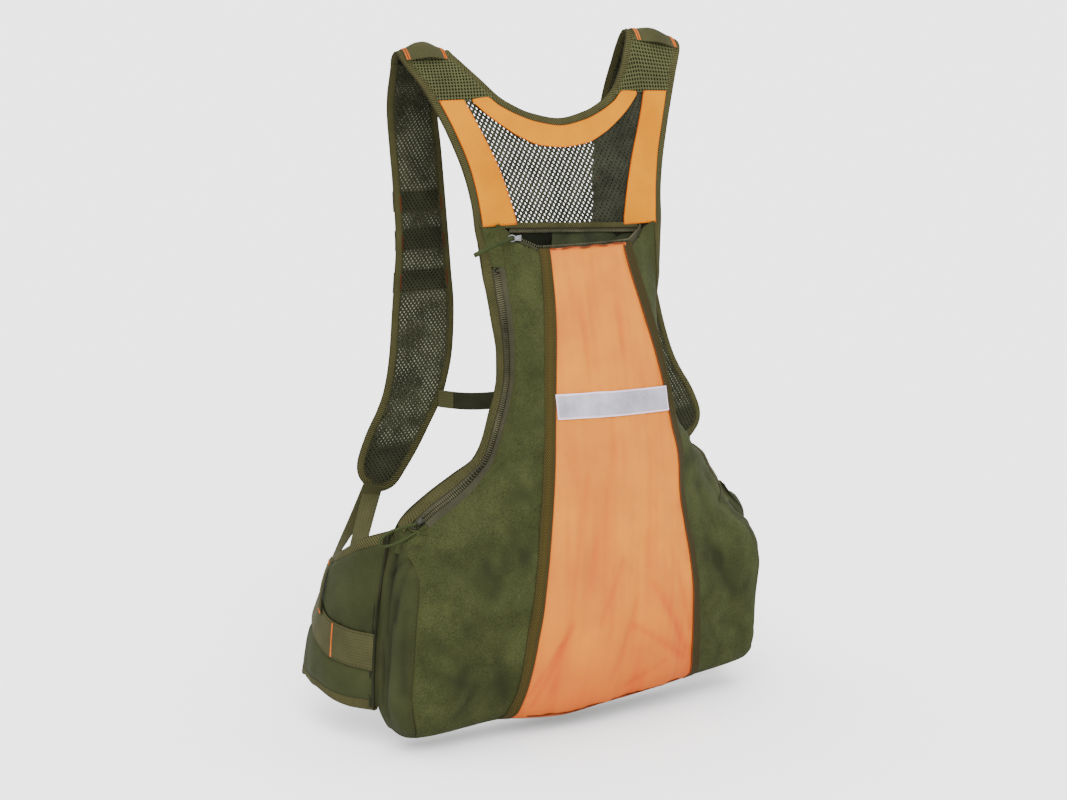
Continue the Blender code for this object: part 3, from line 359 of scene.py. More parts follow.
def seam_x(z: Array) -> Array:
    """How far out the side seam lies, its lower corner rounded off."""
    return SIDE.at(z)[0] - 16.0 * capped((26.0 - np.asarray(z, float)) / 32.0) ** 2


def seam_draw(z: Array) -> Array:
    """How far in the right side seam is drawn towards the middle."""
    return BAG.at(z)[7] + DRAWN.at(z)[1]


def skin_flat(z: Array, station: Array, side: Array, lift: Array = 0.0) -> Array:
    """x and y on the front skin, at station 1 the orange's edge, 2 the trim, 3 the fold, 4 the seam.

    Args:
        z: Heights.
        station: Stations.
        side: LEFT or RIGHT for each.
        lift: How far out they lie.

    Returns:
        The x and y of each.
    """
    mid_y, orange_x, orange_y, trim_x, trim_y, fold_x, fold_y, tuck = BAG.at(z)
    seam = seam_x(z)
    zero = np.zeros_like(mid_y)
    across = np.stack([-orange_x, zero, orange_x, trim_x, fold_x, seam - 1.0])
    depth = np.stack([orange_y, mid_y, orange_y, trim_y, fold_y, back_y(z) - 1.0])
    corners = np.stack([across, depth], axis=-1)
    ends = 2 * corners[:1] - corners[1:2], 2 * corners[-1:] - corners[-2:-1]
    padded = np.concatenate([ends[0], corners, ends[1]])
    rows = np.arange(len(zero))

    def spot(step: Array) -> Array:
        """x and y on the skin at steps."""
        place = np.clip(step + 1.0, 0.0, 5.0)
        i = np.minimum(place.astype(int), 4)
        return blend([padded[i + n, rows] for n in range(4)], (place - i)[:, None])

    point = spot(station)
    heading = unit(spot(station + 0.02) - spot(station - 0.02))
    x = point[:, 0] + heading[:, 1] * lift
    y = point[:, 1] - heading[:, 0] * lift
    at_fold, at_seam = DRAWN.at(z)
    outer = capped(station - 3.0)
    extra = (at_fold + (at_seam - at_fold) * outer**1.5) * capped(x / fold_x) ** 3
    drawn = np.where(np.asarray(side) > 0, tuck * np.minimum((x / seam) ** 2, 1.0) + extra, 0.0)
    return stack(side * (x - drawn), y)


def skin(z: Array, station: Array, side: Array, lift: Array = 0.0) -> Array:
    """Places on the front skin, with its folds, its uneven lower edge and the turn beneath it.

    Args:
        z: Heights.
        station: Stations, as in skin_flat.
        side: LEFT or RIGHT for each.
        lift: How far out they lie.

    Returns:
        The places.
    """
    z, station, side, lift = (np.array(a, float) for a in np.broadcast_arrays(z, station, side, lift))
    flat = skin_flat(z, station, side, lift)
    pressed = fold_depth(flat[:, 0], z) * capped(3.6 - station)
    under = 0.022 * np.clip(8.0 - z, 0.0, 14.0) ** 2
    return stack(flat[:, 0], flat[:, 1] + pressed + under, z + lower_rise(flat[:, 0], z))


class Unrolled:
    """The front skin laid flat: run is the distance out from the middle at a height."""

    low, high, tenths = -20, 500, 41

    def __init__(self) -> None:
        """Measures the skin row by row."""
        heights = np.arange(self.low, self.high, dtype=float)
        z, station = (a.ravel() for a in np.meshgrid(heights, np.arange(self.tenths) / 10, indexing="ij"))
        points = skin_flat(z, station, np.full(len(z), LEFT)).reshape(len(heights), self.tenths, 2)
        gaps = np.linalg.norm(np.diff(points, axis=1), axis=2)
        self.runs = np.hstack([np.zeros((len(heights), 1)), np.cumsum(gaps, axis=1)])

    def rows(self, z: Array) -> Array:
        """The distances out to each tenth of a station at heights.

        Args:
            z: Heights.

        Returns:
            A row of distances for each height.
        """
        place = np.clip(np.atleast_1d(z) - self.low, 0, len(self.runs) - 1.001)
        i = place.astype(int)
        return self.runs[i] + (self.runs[i + 1] - self.runs[i]) * (place - i)[:, None]

    def run(self, station: float, z: Array) -> Array:
        """The distances out to a station at heights.

        Args:
            station: The station.
            z: Heights.

        Returns:
            The distances.
        """
        rows = self.rows(z)
        n = min(int(station * 10), self.tenths - 2)
        return rows[:, n] + (rows[:, n + 1] - rows[:, n]) * (station * 10 - n)

    def place(self, run: Array, z: Array, side: Array, lift: Array = 0.0) -> Array:
        """The places on the skin at distances out and heights.

        Args:
            run: Distances out from the middle.
            z: Heights.
            side: LEFT or RIGHT for each.
            lift: How far out they lie.

        Returns:
            The places.
        """
        spread = np.broadcast_arrays(np.atleast_1d(run), z, side, lift)
        run, z, side, lift = (np.array(a, float) for a in spread)
        rows = self.rows(z)
        n = np.clip((rows <= np.maximum(run, 0.0)[:, None]).sum(axis=1) - 1, 0, self.tenths - 2)
        index = np.arange(len(n))
        near, far = rows[index, n], rows[index, n + 1]
        return skin(z, np.minimum((n + (run - near) / (far - near)) / 10, 4.0), side, lift)

    def both(self, run: Array, z: Array, lift: Array = 0.0) -> Array:
        """The places on the skin at distances to the left, below 0, and to the right."""
        return self.place(np.abs(run), z, np.where(run < 0, LEFT, RIGHT), lift)


UNROLLED = Unrolled()


def seam_outline(low_z: float, high_z: float) -> Route:
    """The side edge between two heights on the unrolled skin, from its top down."""
    heights = [row[0] for row in reversed(SIDE_EDGE) if low_z + 5 < row[0] < high_z - 5]
    return Route([(UNROLLED.run(4.0, z)[0], z) for z in (high_z, *heights, low_z)])


def inset_spot(route: Route, distance: Array, inset: Array) -> Array:
    """Spots set in from a line on the unrolled skin, square to it."""
    heading = route.heading(distance)
    return route.at(distance) + stack(heading[..., 1], -heading[..., 0]) * np.asarray(inset)[..., None]


def skin_track(route: Route, side: int) -> Place:
    """Places beside a line drawn on the unrolled skin.

    Args:
        route: The line.
        side: LEFT or RIGHT.

    Returns:
        The function that gives the places.
    """

    def place(distance: Array, across: Array, lift: Array) -> Array:
        """Places beside the line."""
        distance, across = np.broadcast_arrays(distance, across)
        spot = inset_spot(route, distance, across)
        return UNROLLED.place(spot[:, 0], spot[:, 1], side, lift)

    return place


def harness_track(route: Route, flip: bool = False) -> Place:
    """Places beside a line drawn on the harness by x and the distance along its profile.

    Args:
        route: The line.
        flip: Whether across counts the other way.

    Returns:
        The function that gives the places.
    """
    turn = -1.0 if flip else 1.0

    def place(distance: Array, across: Array, lift: Array) -> Array:
        """Places beside the line."""
        distance, across = np.broadcast_arrays(distance, across)
        spot = inset_spot(route, distance, across * turn)
        return harness(spot[:, 0], spot[:, 1], lift)

    return place


def free_track(route: Route, reference: Sequence[float] = (0.0, 0.0, 1.0)) -> Place:
    """Places beside a line through space, across close to the reference direction.

    Args:
        route: The line.
        reference: The direction that across keeps close to.

    Returns:
        The function that gives the places.
    """

    def place(distance: Array, across: Array, lift: Array) -> Array:
        """Places beside the line."""
        heading = route.heading(distance)
        out = unit(np.cross(heading, np.broadcast_to(reference, heading.shape)))
        side = np.cross(out, heading)
        return route.at(distance) + side * np.asarray(across)[..., None] + out * np.asarray(lift)[..., None]

    return place


def mouth_height(run: Array, side: Array) -> Array:
    """The top of the front skin: low at the open mouth, up at the yoke beside it.

    Args:
        run: Distances out from the middle.
        side: LEFT or RIGHT for each.

    Returns:
        The heights.
    """
    left = np.interp(run, (58.0, 78.0, 84.0, 93.0), (MOUTH_Z, 476.0, 484.0, 490.0))
    right = np.interp(run, (62.0, 84.0, 89.0, 94.0), (MOUTH_Z, 474.0, 479.5, 483.5))
    return np.where(np.asarray(side) < 0, left, right)


def base_line(x: Array) -> Array:
    """The height at which the net ends over the open mouth, lower on the right."""
    return BASE_Z - 0.055 * (np.clip(x, -110.0, 110.0) - 7.0)


def wing_place(side: int, t: Array, h: Array, lift: Array = 0.0) -> Array:
    """Places on a hip wing: t from 0 at its seam to 1 at its tip, h up, lift outwards.

    Args:
        side: LEFT or RIGHT.
        t: Shares along the wing.
        h: Shares of its height.
        lift: How far out they lie.

    Returns:
        The places.
    """
    t, h, lift = (np.array(a, float) for a in np.broadcast_arrays(t, h, lift))
    y = WING_ROWS[0][0] + WING_LENGTH * t
    top_x, top_z, low_x, low_z, _ = WINGS.at(y)
    x = low_x + (top_x - low_x) * h + 6.0 * np.sin(np.pi * capped(h))
    z = low_z + (top_z - low_z) * h
    near, far = WINGS.at(y - 2.0), WINGS.at(y + 2.0)
    along = unit(stack((far[2] + far[0] - near[2] - near[0]) / 2, 4.0))
    drawn = seam_draw(z) if side == RIGHT else 0.0
    return stack(side * (x + along[..., 1] * lift - drawn), y - along[..., 0] * lift, z)


def wing_height(t: Array, z: Array) -> Array:
    """The share of a wing's height at which it has a height."""
    _, top_z, _, low_z, _ = WINGS.at(WING_ROWS[0][0] + WING_LENGTH * np.asarray(t, float))
    return (z - low_z) / (top_z - low_z)


def wing_round(t: Array, share: float) -> Array:
    """How far a wing's rounded end cuts in from its lower or upper edge."""
    return share * capped((t - 0.8) / 0.2) ** 2


def ruffle(x: Array, z: Array, size: float, seed: int) -> Array:
    """An uneven, soft up and down over a surface, about one high.

    Args:
        x: Places one way.
        z: Places the other way.
        size: How far one wave reaches.
        seed: The seed of its random waves.

    Returns:
        The height at each place.
    """
    random = np.random.default_rng(seed)
    total = np.zeros(np.shape(x))
    for _ in range(8):
        turn, phase = random.uniform(0, 2 * np.pi, 2)
        pace = 2 * np.pi * random.uniform(0.5, 1.5) / size
        total = total + np.sin((x * np.cos(turn) + z * np.sin(turn)) * pace + phase)
    return total / 3.0


@dataclass(frozen=True)
class Crease:
    """A crease pressed into cloth, from one place across and up to another."""

    start: Pair
    end: Pair
    width: float
    depth: float

    def press(self, x: Array, z: Array) -> Array:
        """How far in the crease presses places."""
        away = line_distance(x, z, self.start, self.end) / self.width
        return self.depth * np.exp(-(away**1.4))


class Weave(Enum):
    """The surface patterns that the rucksack's cloths have."""

    PLAIN = "plain"
    TWILL = "twill"
    RIBS_ACROSS = "ribs across"
    RIBS_ALONG = "ribs along"
    HERRINGBONE = "herringbone"
    BRAID = "braid"
    KNIT = "knit"
    NAP = "nap"


def tone(red: float, green: float, blue: float) -> tuple[float, float, float, float]:
    """A shade given as 0 to 255 as a shader's linear colour."""
    linear = [((c / 255 + 0.055) / 1.055) ** 2.4 if c > 10 else c / 3294.6 for c in (red, green, blue)]
    return (*linear, 1.0)


class Wire:
    """A number that runs through a material's nodes; arithmetic on it adds Math nodes."""

    def __init__(self, graph: "Graph", socket: Socket) -> None:
        """Keeps its graph and socket."""
        self.graph, self.socket = graph, socket

    def math(self, operation: str, *others: "Wire | float") -> "Wire":
        """The result of a Math node that starts from this number."""
        return self.graph.math(operation, self, *others)

    def __add__(self, other: "Wire | float") -> "Wire":
        """This plus another."""
        return self.math("ADD", other)

    def __sub__(self, other: "Wire | float") -> "Wire":
        """This less another."""
        return self.math("SUBTRACT", other)

    def __rsub__(self, other: float) -> "Wire":
        """Another less this."""
        return self.graph.math("SUBTRACT", other, self)

    def __mul__(self, other: "Wire | float") -> "Wire":
        """This times another."""
        return self.math("MULTIPLY", other)

    __radd__ = __add__
    __rmul__ = __mul__

    def clamp(self) -> "Wire":
        """This held from 0 to 1."""
        return self.math("MAXIMUM", 0.0).math("MINIMUM", 1.0)


class Graph:
    """One material's nodes."""

    def __init__(self, name: str) -> None:
        """Makes a material with nodes."""
        self.material = bpy.data.materials.new(name)
        self.material.use_nodes = True
        self.tree = self.material.node_tree
        self.shader = self.tree.nodes["Principled BSDF"]

    def add(self, kind: str, settings: dict | None = None, values: dict | None = None) -> bpy.types.Node:
        """A node of a kind, its settings made first and then its sockets' values or links.

        Args:
            kind: The node's type.
            settings: Its settings by name.
            values: Values, wires or sockets by input name or number.

        Returns:
            The new node.
        """
        node = self.tree.nodes.new(kind)
        for name, value in (settings or {}).items():
            setattr(node, name, value)
        for key, value in (values or {}).items():
            self.feed(node.inputs[key], value)
        return node

    def feed(self, socket: Socket, value: object) -> None:
        """Gives a socket a value or a link.

        Args:
            socket: The socket.
            value: A number, a wire or another socket.
        """
        if isinstance(value, Wire):
            value = value.socket
        if isinstance(value, Socket):
            self.tree.links.new(value, socket)
        else:
            socket.default_value = value

    def math(self, operation: str, *values: "Wire | float") -> Wire:
        """The result of a Math node on two or three values."""
        node = self.add("ShaderNodeMath", {"operation": operation}, dict(enumerate(values)))
        return Wire(self, node.outputs[0])

    def mix(self, factor: "Wire | float", low: object, high: object) -> Socket:
        """Two colours mixed by a factor."""
        node = self.add("ShaderNodeMix", {"data_type": "RGBA"}, {0: factor, 6: low, 7: high})
        return node.outputs[2]

    def noise(self, size: float, detail: float = 3.0, stretch: Sequence[float] = (1, 1, 1)) -> Wire:
        """Noise over the object in patches of a size in millimetres.

        Args:
            size: The patches' size.
            detail: How fine its detail goes.
            stretch: How much denser it is each way.

        Returns:
            The noise from 0 to 1.
        """
        place = self.add("ShaderNodeTexCoord").outputs["Object"]
        scaled = self.add("ShaderNodeMapping", None, {0: place, 3: tuple(stretch)}).outputs[0]
        values = {"Vector": scaled, "Scale": 1000.0 / size, "Detail": detail, "Roughness": 0.6}
        return Wire(self, self.add("ShaderNodeTexNoise", None, values).outputs["Fac"])

    def spread(self) -> tuple[Wire, Wire]:
        """The distances across and along the cloth in millimetres, from its UV map.

        Returns:
            The distance across and the distance along.
        """
        place = self.add("ShaderNodeTexCoord").outputs["UV"]
        parts = self.add("ShaderNodeSeparateXYZ", None, {0: place})
        return Wire(self, parts.outputs[0]), Wire(self, parts.outputs[1])

    def stored(self, name: str) -> Wire:
        """A number stored in the mesh under a name."""
        return Wire(self, self.add("ShaderNodeAttribute", {"attribute_name": name}).outputs["Fac"])


def threads(graph: Graph, weave: Weave, pitch: float) -> Wire:
    """How high a cloth's threads stand, from 0 to 1.

    Args:
        graph: The material's nodes.
        weave: The cloth's pattern.
        pitch: The distance in millimetres over which it repeats.

    Returns:
        The height.
    """
    if weave is Weave.NAP:
        return graph.noise(pitch, 2.0)
    u, v = graph.spread()
    turn = 2 * math.pi / pitch
    if weave is Weave.TWILL:
        wave = ((u + v) * turn).math("SINE")
    elif weave is Weave.RIBS_ACROSS:
        wave = ((v + u * 0.8) * turn).math("SINE")
    elif weave is Weave.RIBS_ALONG:
        wave = (u * turn).math("SINE") * 0.8 + (v * turn * 2.1).math("SINE") * 0.2
    elif weave is Weave.HERRINGBONE:
        wave = ((u.math("PINGPONG", 3.6) * 1.4 + v) * turn).math("SINE")
    elif weave is Weave.KNIT:
        wave = ((u + v * 0.6) * turn).math("SINE") * ((v - u * 0.4) * turn * 1.3).math("SINE")
    elif weave is Weave.BRAID:
        wave = ((u + v) * (turn / 2)).math("SINE") * ((u - v) * (turn / 2)).math("SINE")
    else:
        wave = (u * (turn / 2)).math("SINE") * (v * (turn / 2)).math("SINE")
    return wave * 0.5 + 0.5


@dataclass(frozen=True)
class Finish:
    """A cloth's look: shades of its low and high places, weave, patches, worn rim, press colour for painted
    crease shade, and sheen.
    """

    name: str
    low: Triple
    high: Triple
    weave: Weave = Weave.PLAIN
    pitch: float = 0.9
    depth: float = 0.12
    contrast: float = 0.35
    patch: float = 40.0
    mottle: float = 1.2
    fleck: float = 0.5
    rim: Triple | None = None
    rim_width: float = 2.0
    # press: the colour taken by places stored under 'press': painted shade in pressed-in creases, together
    # with any tint a piece adds
    press: Triple | None = None
    pressed: float = 0.3
    roughness: float = 0.88
    sheen: float = 0.0
    shine: float = 0.06
    metallic: float = 0.0

    def material(self) -> bpy.types.Material:
        """The finish's material, made at its first use."""
        made = bpy.data.materials.get(self.name)
        return made or self.build()

    def build(self) -> bpy.types.Material:
        """Makes the material.

        Returns:
            The material.
        """
        graph = Graph(self.name)
        height = threads(graph, self.weave, self.pitch)
        clouds = (graph.noise(self.patch, 4.0) - 0.5) * self.mottle * 2.2
        flecks = (graph.noise(1.6, 2.0) - 0.5) * self.fleck
        shade = (clouds + flecks + (height - 0.5) * self.contrast + 0.5).clamp()
        color = graph.mix(shade, tone(*self.low), tone(*self.high))
        # painted shade: creases, and the places a piece tints, take the press colour
        if self.press:
            color = graph.mix((graph.stored("press") * self.pressed).clamp(), color, tone(*self.press))
        if self.rim:
            edge = (1.0 - graph.stored("rim") * (1.0 / self.rim_width)).clamp()
            color = graph.mix(edge * 0.85, color, tone(*self.rim))
        graph.feed(graph.shader.inputs["Base Color"], color)
        rough = (self.roughness + 0.06) - height * 0.12
        graph.feed(graph.shader.inputs["Roughness"], rough)
        values = {"Strength": 0.9, "Distance": self.depth * MM, "Height": height + flecks * 0.5}
        bump = graph.add("ShaderNodeBump", None, values)
        graph.feed(graph.shader.inputs["Normal"], bump.outputs[0])
        graph.shader.inputs["Metallic"].default_value = self.metallic
        graph.shader.inputs["Sheen Weight"].default_value = self.sheen
        graph.shader.inputs["Sheen Roughness"].default_value = 0.5
        graph.shader.inputs["Specular IOR Level"].default_value = self.shine
        return graph.material


# press: painted shade in the suede's creases, and also the colour of its darker nap patches
SUEDE = Finish(
    "napped_suede", (28, 31, 14), (51, 55, 30), Weave.NAP, 1.3, 0.3, 0.7, 30.0, 0.6, 1.3,
    rim=(38, 39, 21), rim_width=2.5, press=(28, 31, 16), pressed=0.24, roughness=0.92,
)
# press: painted shade in the twill's creases and along the wings' held seams
TWILL = Finish(
    "olive_twill", (29, 32, 16), (43, 46, 26), Weave.TWILL, 1.6, 0.12, 0.5, 60.0, 0.9,
    rim=(33, 32, 18), rim_width=4.0, press=(20, 22, 11), pressed=0.22,
)
# press: painted shade, redder in the orange's creases; the panel also tints it towards its bottom and near
# its rim
ORANGE = Finish(
    "peach_orange", (152, 83, 30), (180, 112, 22), Weave.PLAIN, 1.1, 0.08, 0.25, 70.0, 0.8, 0.2,
    rim=(134, 50, 24), rim_width=3.0, press=(154, 66, 24), pressed=0.27, roughness=0.8,
)
ORANGE_BAND = Finish(
    "amber_orange", (149, 88, 0), (169, 107, 0), Weave.PLAIN, 1.1, 0.08, 0.25, 60.0, 0.8, 0.2,
    rim=(127, 46, 15), rim_width=1.1, roughness=0.8, shine=0.0,
)
BINDING = Finish(
    "ribbed_binding", (31, 30, 15), (60, 58, 34), Weave.RIBS_ACROSS, 2.6, 0.3, 1.4, 25.0, 0.7,
    rim=(32, 29, 15), rim_width=1.0,
)
TRIM = Finish(
    "herringbone_trim", (34, 27, 8), (76, 64, 25), Weave.HERRINGBONE, 3.0, 0.35, 2.1, 30.0, 0.5,
    rim=(37, 33, 16), rim_width=1.2,
)
# painted shade: a darker copy of the trim for the right side, which lies in shade
SHADED_TRIM = replace(TRIM, name="shaded_trim", low=(24, 17, 6), high=(56, 46, 19))
REFLECTIVE = Finish(
    "grey_reflective", (116, 113, 119), (156, 153, 163), Weave.TWILL, 1.2, 0.04, 0.25, 26.0, 0.9,
    rim=(203, 188, 215), rim_width=1.8, roughness=0.5, metallic=0.15,
)
NET = Finish(
    "open_net", (16, 17, 11), (44, 45, 35), Weave.KNIT, 2.5, 0.2, 1.1, 22.0, 0.8, 0.8,
)
DARK_NET = Finish(
    "dark_net", (20, 21, 13), (44, 45, 31), Weave.KNIT, 2.5, 0.2, 0.9, 30.0, 0.8, 0.8,
)
# press: painted shade on the strap backing, under its cross bands and towards its lower end
PALE_NET = Finish(
    "pale_net", (24, 26, 17), (136, 138, 120), Weave.KNIT, 4.0, 0.2, 0.9, 26.0, 1.7, 0.8,
    press=(12, 12, 8), pressed=1.0,
)
SPACER = Finish(
    "spacer_mesh", (43, 44, 27), (68, 70, 44), Weave.KNIT, 3.0, 0.2, 0.7, 30.0, 0.5,
)
SPACER_CORE = Finish("spacer_core", (11, 13, 6), (20, 22, 13), Weave.PLAIN, 1.4, 0.2)
WEBBING = Finish(
    "olive_webbing", (38, 38, 22), (56, 55, 34), Weave.RIBS_ALONG, 2.9, 0.16, 0.36, 30.0, 0.6,
)
DARK_WEBBING = Finish(
    "dark_webbing", (15, 15, 9), (26, 27, 19), Weave.RIBS_ALONG, 2.9, 0.3, 0.7, 30.0, 0.6,
)
ZIP_TAPE = Finish(
    "taupe_tape", (34, 33, 24), (51, 50, 38), Weave.TWILL, 1.2, 0.12, 0.5, 20.0, 0.6,
)
TEETH = Finish(
    "moulded_teeth", (38, 36, 26), (72, 70, 52), Weave.NAP, 1.0, 0.03, 0.3, roughness=0.45,
)
THREAD = Finish("olive_thread", (38, 39, 22), (56, 56, 33), Weave.NAP, 0.5, 0.05, 0.4)
DARK_THREAD = Finish("dark_thread", (21, 20, 12), (32, 31, 20), Weave.NAP, 0.5, 0.05, 0.4)
RED_THREAD = Finish("red_thread", (48, 20, 9), (78, 34, 15), Weave.NAP, 0.6, 0.05, 0.6)
ORANGE_THREAD = Finish("orange_thread", (130, 54, 14), (188, 98, 34), Weave.NAP, 0.6, 0.05, 0.6)
PALE_THREAD = Finish("pale_thread", (143, 119, 136), (222, 188, 216), Weave.NAP, 0.5, 0.05, 0.4)
RED_EDGE = Finish("red_edge", (73, 34, 18), (101, 44, 20), Weave.RIBS_ACROSS, 1.0, 0.1, 0.5)
STEEL = Finish(
    "satin_steel", (56, 57, 59), (125, 128, 132), Weave.NAP, 0.8, 0.02, 0.3, 8.0, 0.7,
    roughness=0.3, metallic=1.0,
)
DARK_STEEL = Finish(
    "dark_steel", (24, 24, 21), (45, 45, 40), Weave.NAP, 0.8, 0.02, 0.3, 6.0, 1.0,
    roughness=0.35, metallic=0.8,
)
CORD = Finish("green_cord", (26, 31, 15), (46, 52, 28), Weave.BRAID, 2.4, 0.3, 1.0, 20.0, 0.4)
LINING = Finish(
    "green_lining", (19, 22, 11), (36, 40, 21), Weave.PLAIN, 0.8, 0.05, 0.2, 24.0, 1.1,
    roughness=0.6,
)
# painted shade: a near black copy of the lining for the shaded inside of the mouth
LINING_PAINTED_SHADE = Finish("lining_painted_shade", (9, 10, 5), (17, 19, 10), Weave.PLAIN, 0.8, 0.05, 0.2, 40.0)
BUCKLE = Finish(
    "moulded_clasp", (13, 15, 8), (21, 23, 15), Weave.NAP, 0.8, 0.04, 0.4, roughness=0.5,
)
DARK_TWILL = Finish("dark_piping", (20, 21, 12), (30, 32, 20), Weave.RIBS_ACROSS, 1.6, 0.15, 0.6)


def deselect() -> None:
    """Leaves nothing selected, so that an operator acts on its own piece alone."""
    bpy.ops.object.select_all(action="DESELECT")


def mode(name: str) -> None:
    """Switches the active piece to EDIT or OBJECT mode."""
    bpy.ops.object.mode_set(mode=name)


def pick(piece: Piece) -> None:
    """Selects one piece and makes it the active one.

    Args:
        piece: The piece.
    """
    deselect()
    piece.select_set(True)
    bpy.context.view_layer.objects.active = piece


def apply(piece: Piece, kind: str, **settings: object) -> None:
    """Adds a modifier with its settings to a piece and applies it.

    Args:
        piece: The piece.
        kind: The modifier's type.
        settings: Its settings by name.
    """
    pick(piece)
    modifier = piece.modifiers.new(kind.lower(), kind)
    for name, value in settings.items():
        setattr(modifier, name, value)
    bpy.ops.object.modifier_apply(modifier=modifier.name)


def close_up(piece: Piece, threshold: float, fill: bool, outward: bool = True) -> None:
    """Merges a piece's doubled points, fills its open ends and turns its faces outwards.

    Args:
        piece: The piece.
        threshold: How near points are merged.
        fill: Whether open ends are filled.
        outward: Whether faces are turned outwards.
    """
    pick(piece)
    mode("EDIT")
    bpy.ops.mesh.select_all(action="SELECT")
    bpy.ops.mesh.remove_doubles(threshold=threshold)
    if fill:
        bpy.ops.mesh.select_all(action="DESELECT")
        bpy.ops.mesh.select_non_manifold()
        bpy.ops.mesh.fill_holes(sides=0)
        bpy.ops.mesh.select_all(action="SELECT")
    if outward:
        bpy.ops.mesh.normals_make_consistent(inside=False)
    mode("OBJECT")


def read_points(piece: Piece) -> Array:
    """The places of a piece's vertices.

    Args:
        piece: The piece.

    Returns:
        The places, three numbers a vertex.
    """
    points = np.empty(len(piece.data.vertices) * 3, np.float32)
    piece.data.vertices.foreach_get("co", points)
    return points.reshape(-1, 3).astype(float)


def move_points(piece: Piece, points: Array) -> None:
    """Puts a piece's vertices at places."""
    piece.data.vertices.foreach_set("co", points.astype(np.float32).ravel())
    piece.data.update()


def write_uv(piece: Piece, spread: Array) -> None:
    """Stores distances across and along the cloth as the piece's UV map.

    Args:
        piece: The piece.
        spread: Two distances a vertex.
    """
    corners = np.empty(len(piece.data.loops), np.int32)
    piece.data.loops.foreach_get("vertex_index", corners)
    layer = piece.data.uv_layers.active or piece.data.uv_layers.new(name="UVMap")
    layer.data.foreach_set("uv", spread[corners].astype(np.float32).ravel())


def store(piece: Piece, name: str, values: Array) -> None:
    """Stores a number for each vertex under a name."""
    kept = piece.data.attributes.new(name, "FLOAT", "POINT")
    kept.data.foreach_set("value", np.asarray(values, np.float32).ravel())


def smooth(piece: Piece, degrees: float = 50.0) -> None:
    """Shades a piece smooth but for its sharp edges."""
    pick(piece)
    bpy.ops.object.shade_smooth_by_angle(angle=math.radians(degrees))


def dress(piece: Piece, finish: Finish, slot: str, *nodes: str) -> Piece:
    """Gives a piece its finish, and says which solids it stands for.

    Args:
        piece: The finished piece.
        finish: Its look.
        slot: Not used.
        nodes: The CAD nodes that it replaces.

    Returns:
        The piece.
    """
    piece.data.materials.clear()
    piece.data.materials.append(finish.material())
    smooth(piece)
    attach(piece, "root")
    if nodes:
        piece.name = f"{nodes[0]}.sewn"
        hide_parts(*nodes)
    LOG.info("%s: %d faces", piece.name, len(piece.data.polygons))
    return piece


def grid(name: str, across: int, along: int) -> tuple[Piece, Array]:
    """A flat grid of cells and the order of its vertices, row by row.

    Args:
        name: The piece's name.
        across: Its cells across.
        along: Its cells along.

    Returns:
        The grid, and each vertex's number when counted row by row.
    """
    deselect()
    bpy.ops.mesh.primitive_grid_add(x_subdivisions=across, y_subdivisions=along, size=2.0)
    piece = bpy.context.object
    piece.name = piece.data.name = name
    flat = (read_points(piece)[:, :2] + 1) / 2
    order = np.rint(flat[:, 0] * across) + np.rint(flat[:, 1] * along) * (across + 1)
    return piece, order.astype(int)


def lay_out(piece: Piece, order: Array, points: Array) -> tuple[Array, Array]:
    """Puts a grid's vertices at a lattice of places, and stores its spread as the UV map.

    Args:
        piece: The grid.
        order: The order of its vertices.
        points: Places in millimetres, as rows of columns.

    Returns:
        The distances across and along in millimetres, as rows of columns.
    """
    across = np.linalg.norm(np.diff(points, axis=1), axis=2).cumsum(axis=1)
    across = np.hstack([np.zeros((len(points), 1)), across])
    across = across - across[:, -1:] / 2
    along = np.linalg.norm(np.diff(points, axis=0), axis=2).mean(axis=1).cumsum()
    along = np.repeat(np.concatenate([[0.0], along])[:, None], points.shape[1], axis=1)
    move_points(piece, to_part(points.reshape(-1, 3))[order])
    write_uv(piece, stack(across.ravel(), along.ravel())[order])
    return across, along


def cloth(
    name: str, place: Sheet, cells: tuple[int, int], thickness: float, relief: Place | None = None,
    centred: bool = False, tint: Sheet | None = None,
) -> Piece:
    """A sheet of cloth: a grid laid over places, pressed and puckered, its pressed-in places kept for painted
    shade, then thickened.

    Args:
        name: The piece's name.
        place: Places for shares across and along.
        cells: How many cells it has across and along.
        thickness: Its thickness in millimetres.
        relief: How far out it stands, from places, distances to its rim and distances along.
        centred: Whether the thickness goes both ways from the places.
        tint: How far the finish's pressed shade shows, from places and distances to the rim.

    Returns:
        The piece.
    """
    across, along = cells
    piece, order = grid(name, across, along)
    u = np.tile(np.linspace(0, 1, across + 1), along + 1)
    v = np.repeat(np.linspace(0, 1, along + 1), across + 1)
    points = place(u, v).reshape(along + 1, across + 1, 3)
    wide, long = lay_out(piece, order, points)
    half = np.abs(wide[:, -1:])
    rim = np.minimum(half - np.abs(wide), np.minimum(long, long[-1:] - long))
    raised = np.zeros(rim.shape)
    if relief:
        raised = relief(points.reshape(-1, 3), rim.ravel(), long.ravel()).reshape(rim.shape)
        normal = unit(np.cross(np.gradient(points, axis=1), np.gradient(points, axis=0)))
        points = points + normal * raised[..., None]
        move_points(piece, to_part(points.reshape(-1, 3))[order])
    store(piece, "rim", rim.ravel()[order])
    # painted shade: how far the relief presses each place in is stored as press, so that creases take the
    # finish's press colour
    shade = np.maximum(-raised, 0.0).ravel()
    if tint:
        shade = shade + tint(points.reshape(-1, 3), rim.ravel())
    store(piece, "press", shade[order])
    offset = 0.0 if centred else -1.0
    apply(piece, "SOLIDIFY", thickness=thickness * MM, offset=offset, use_even_offset=False)
    return piece


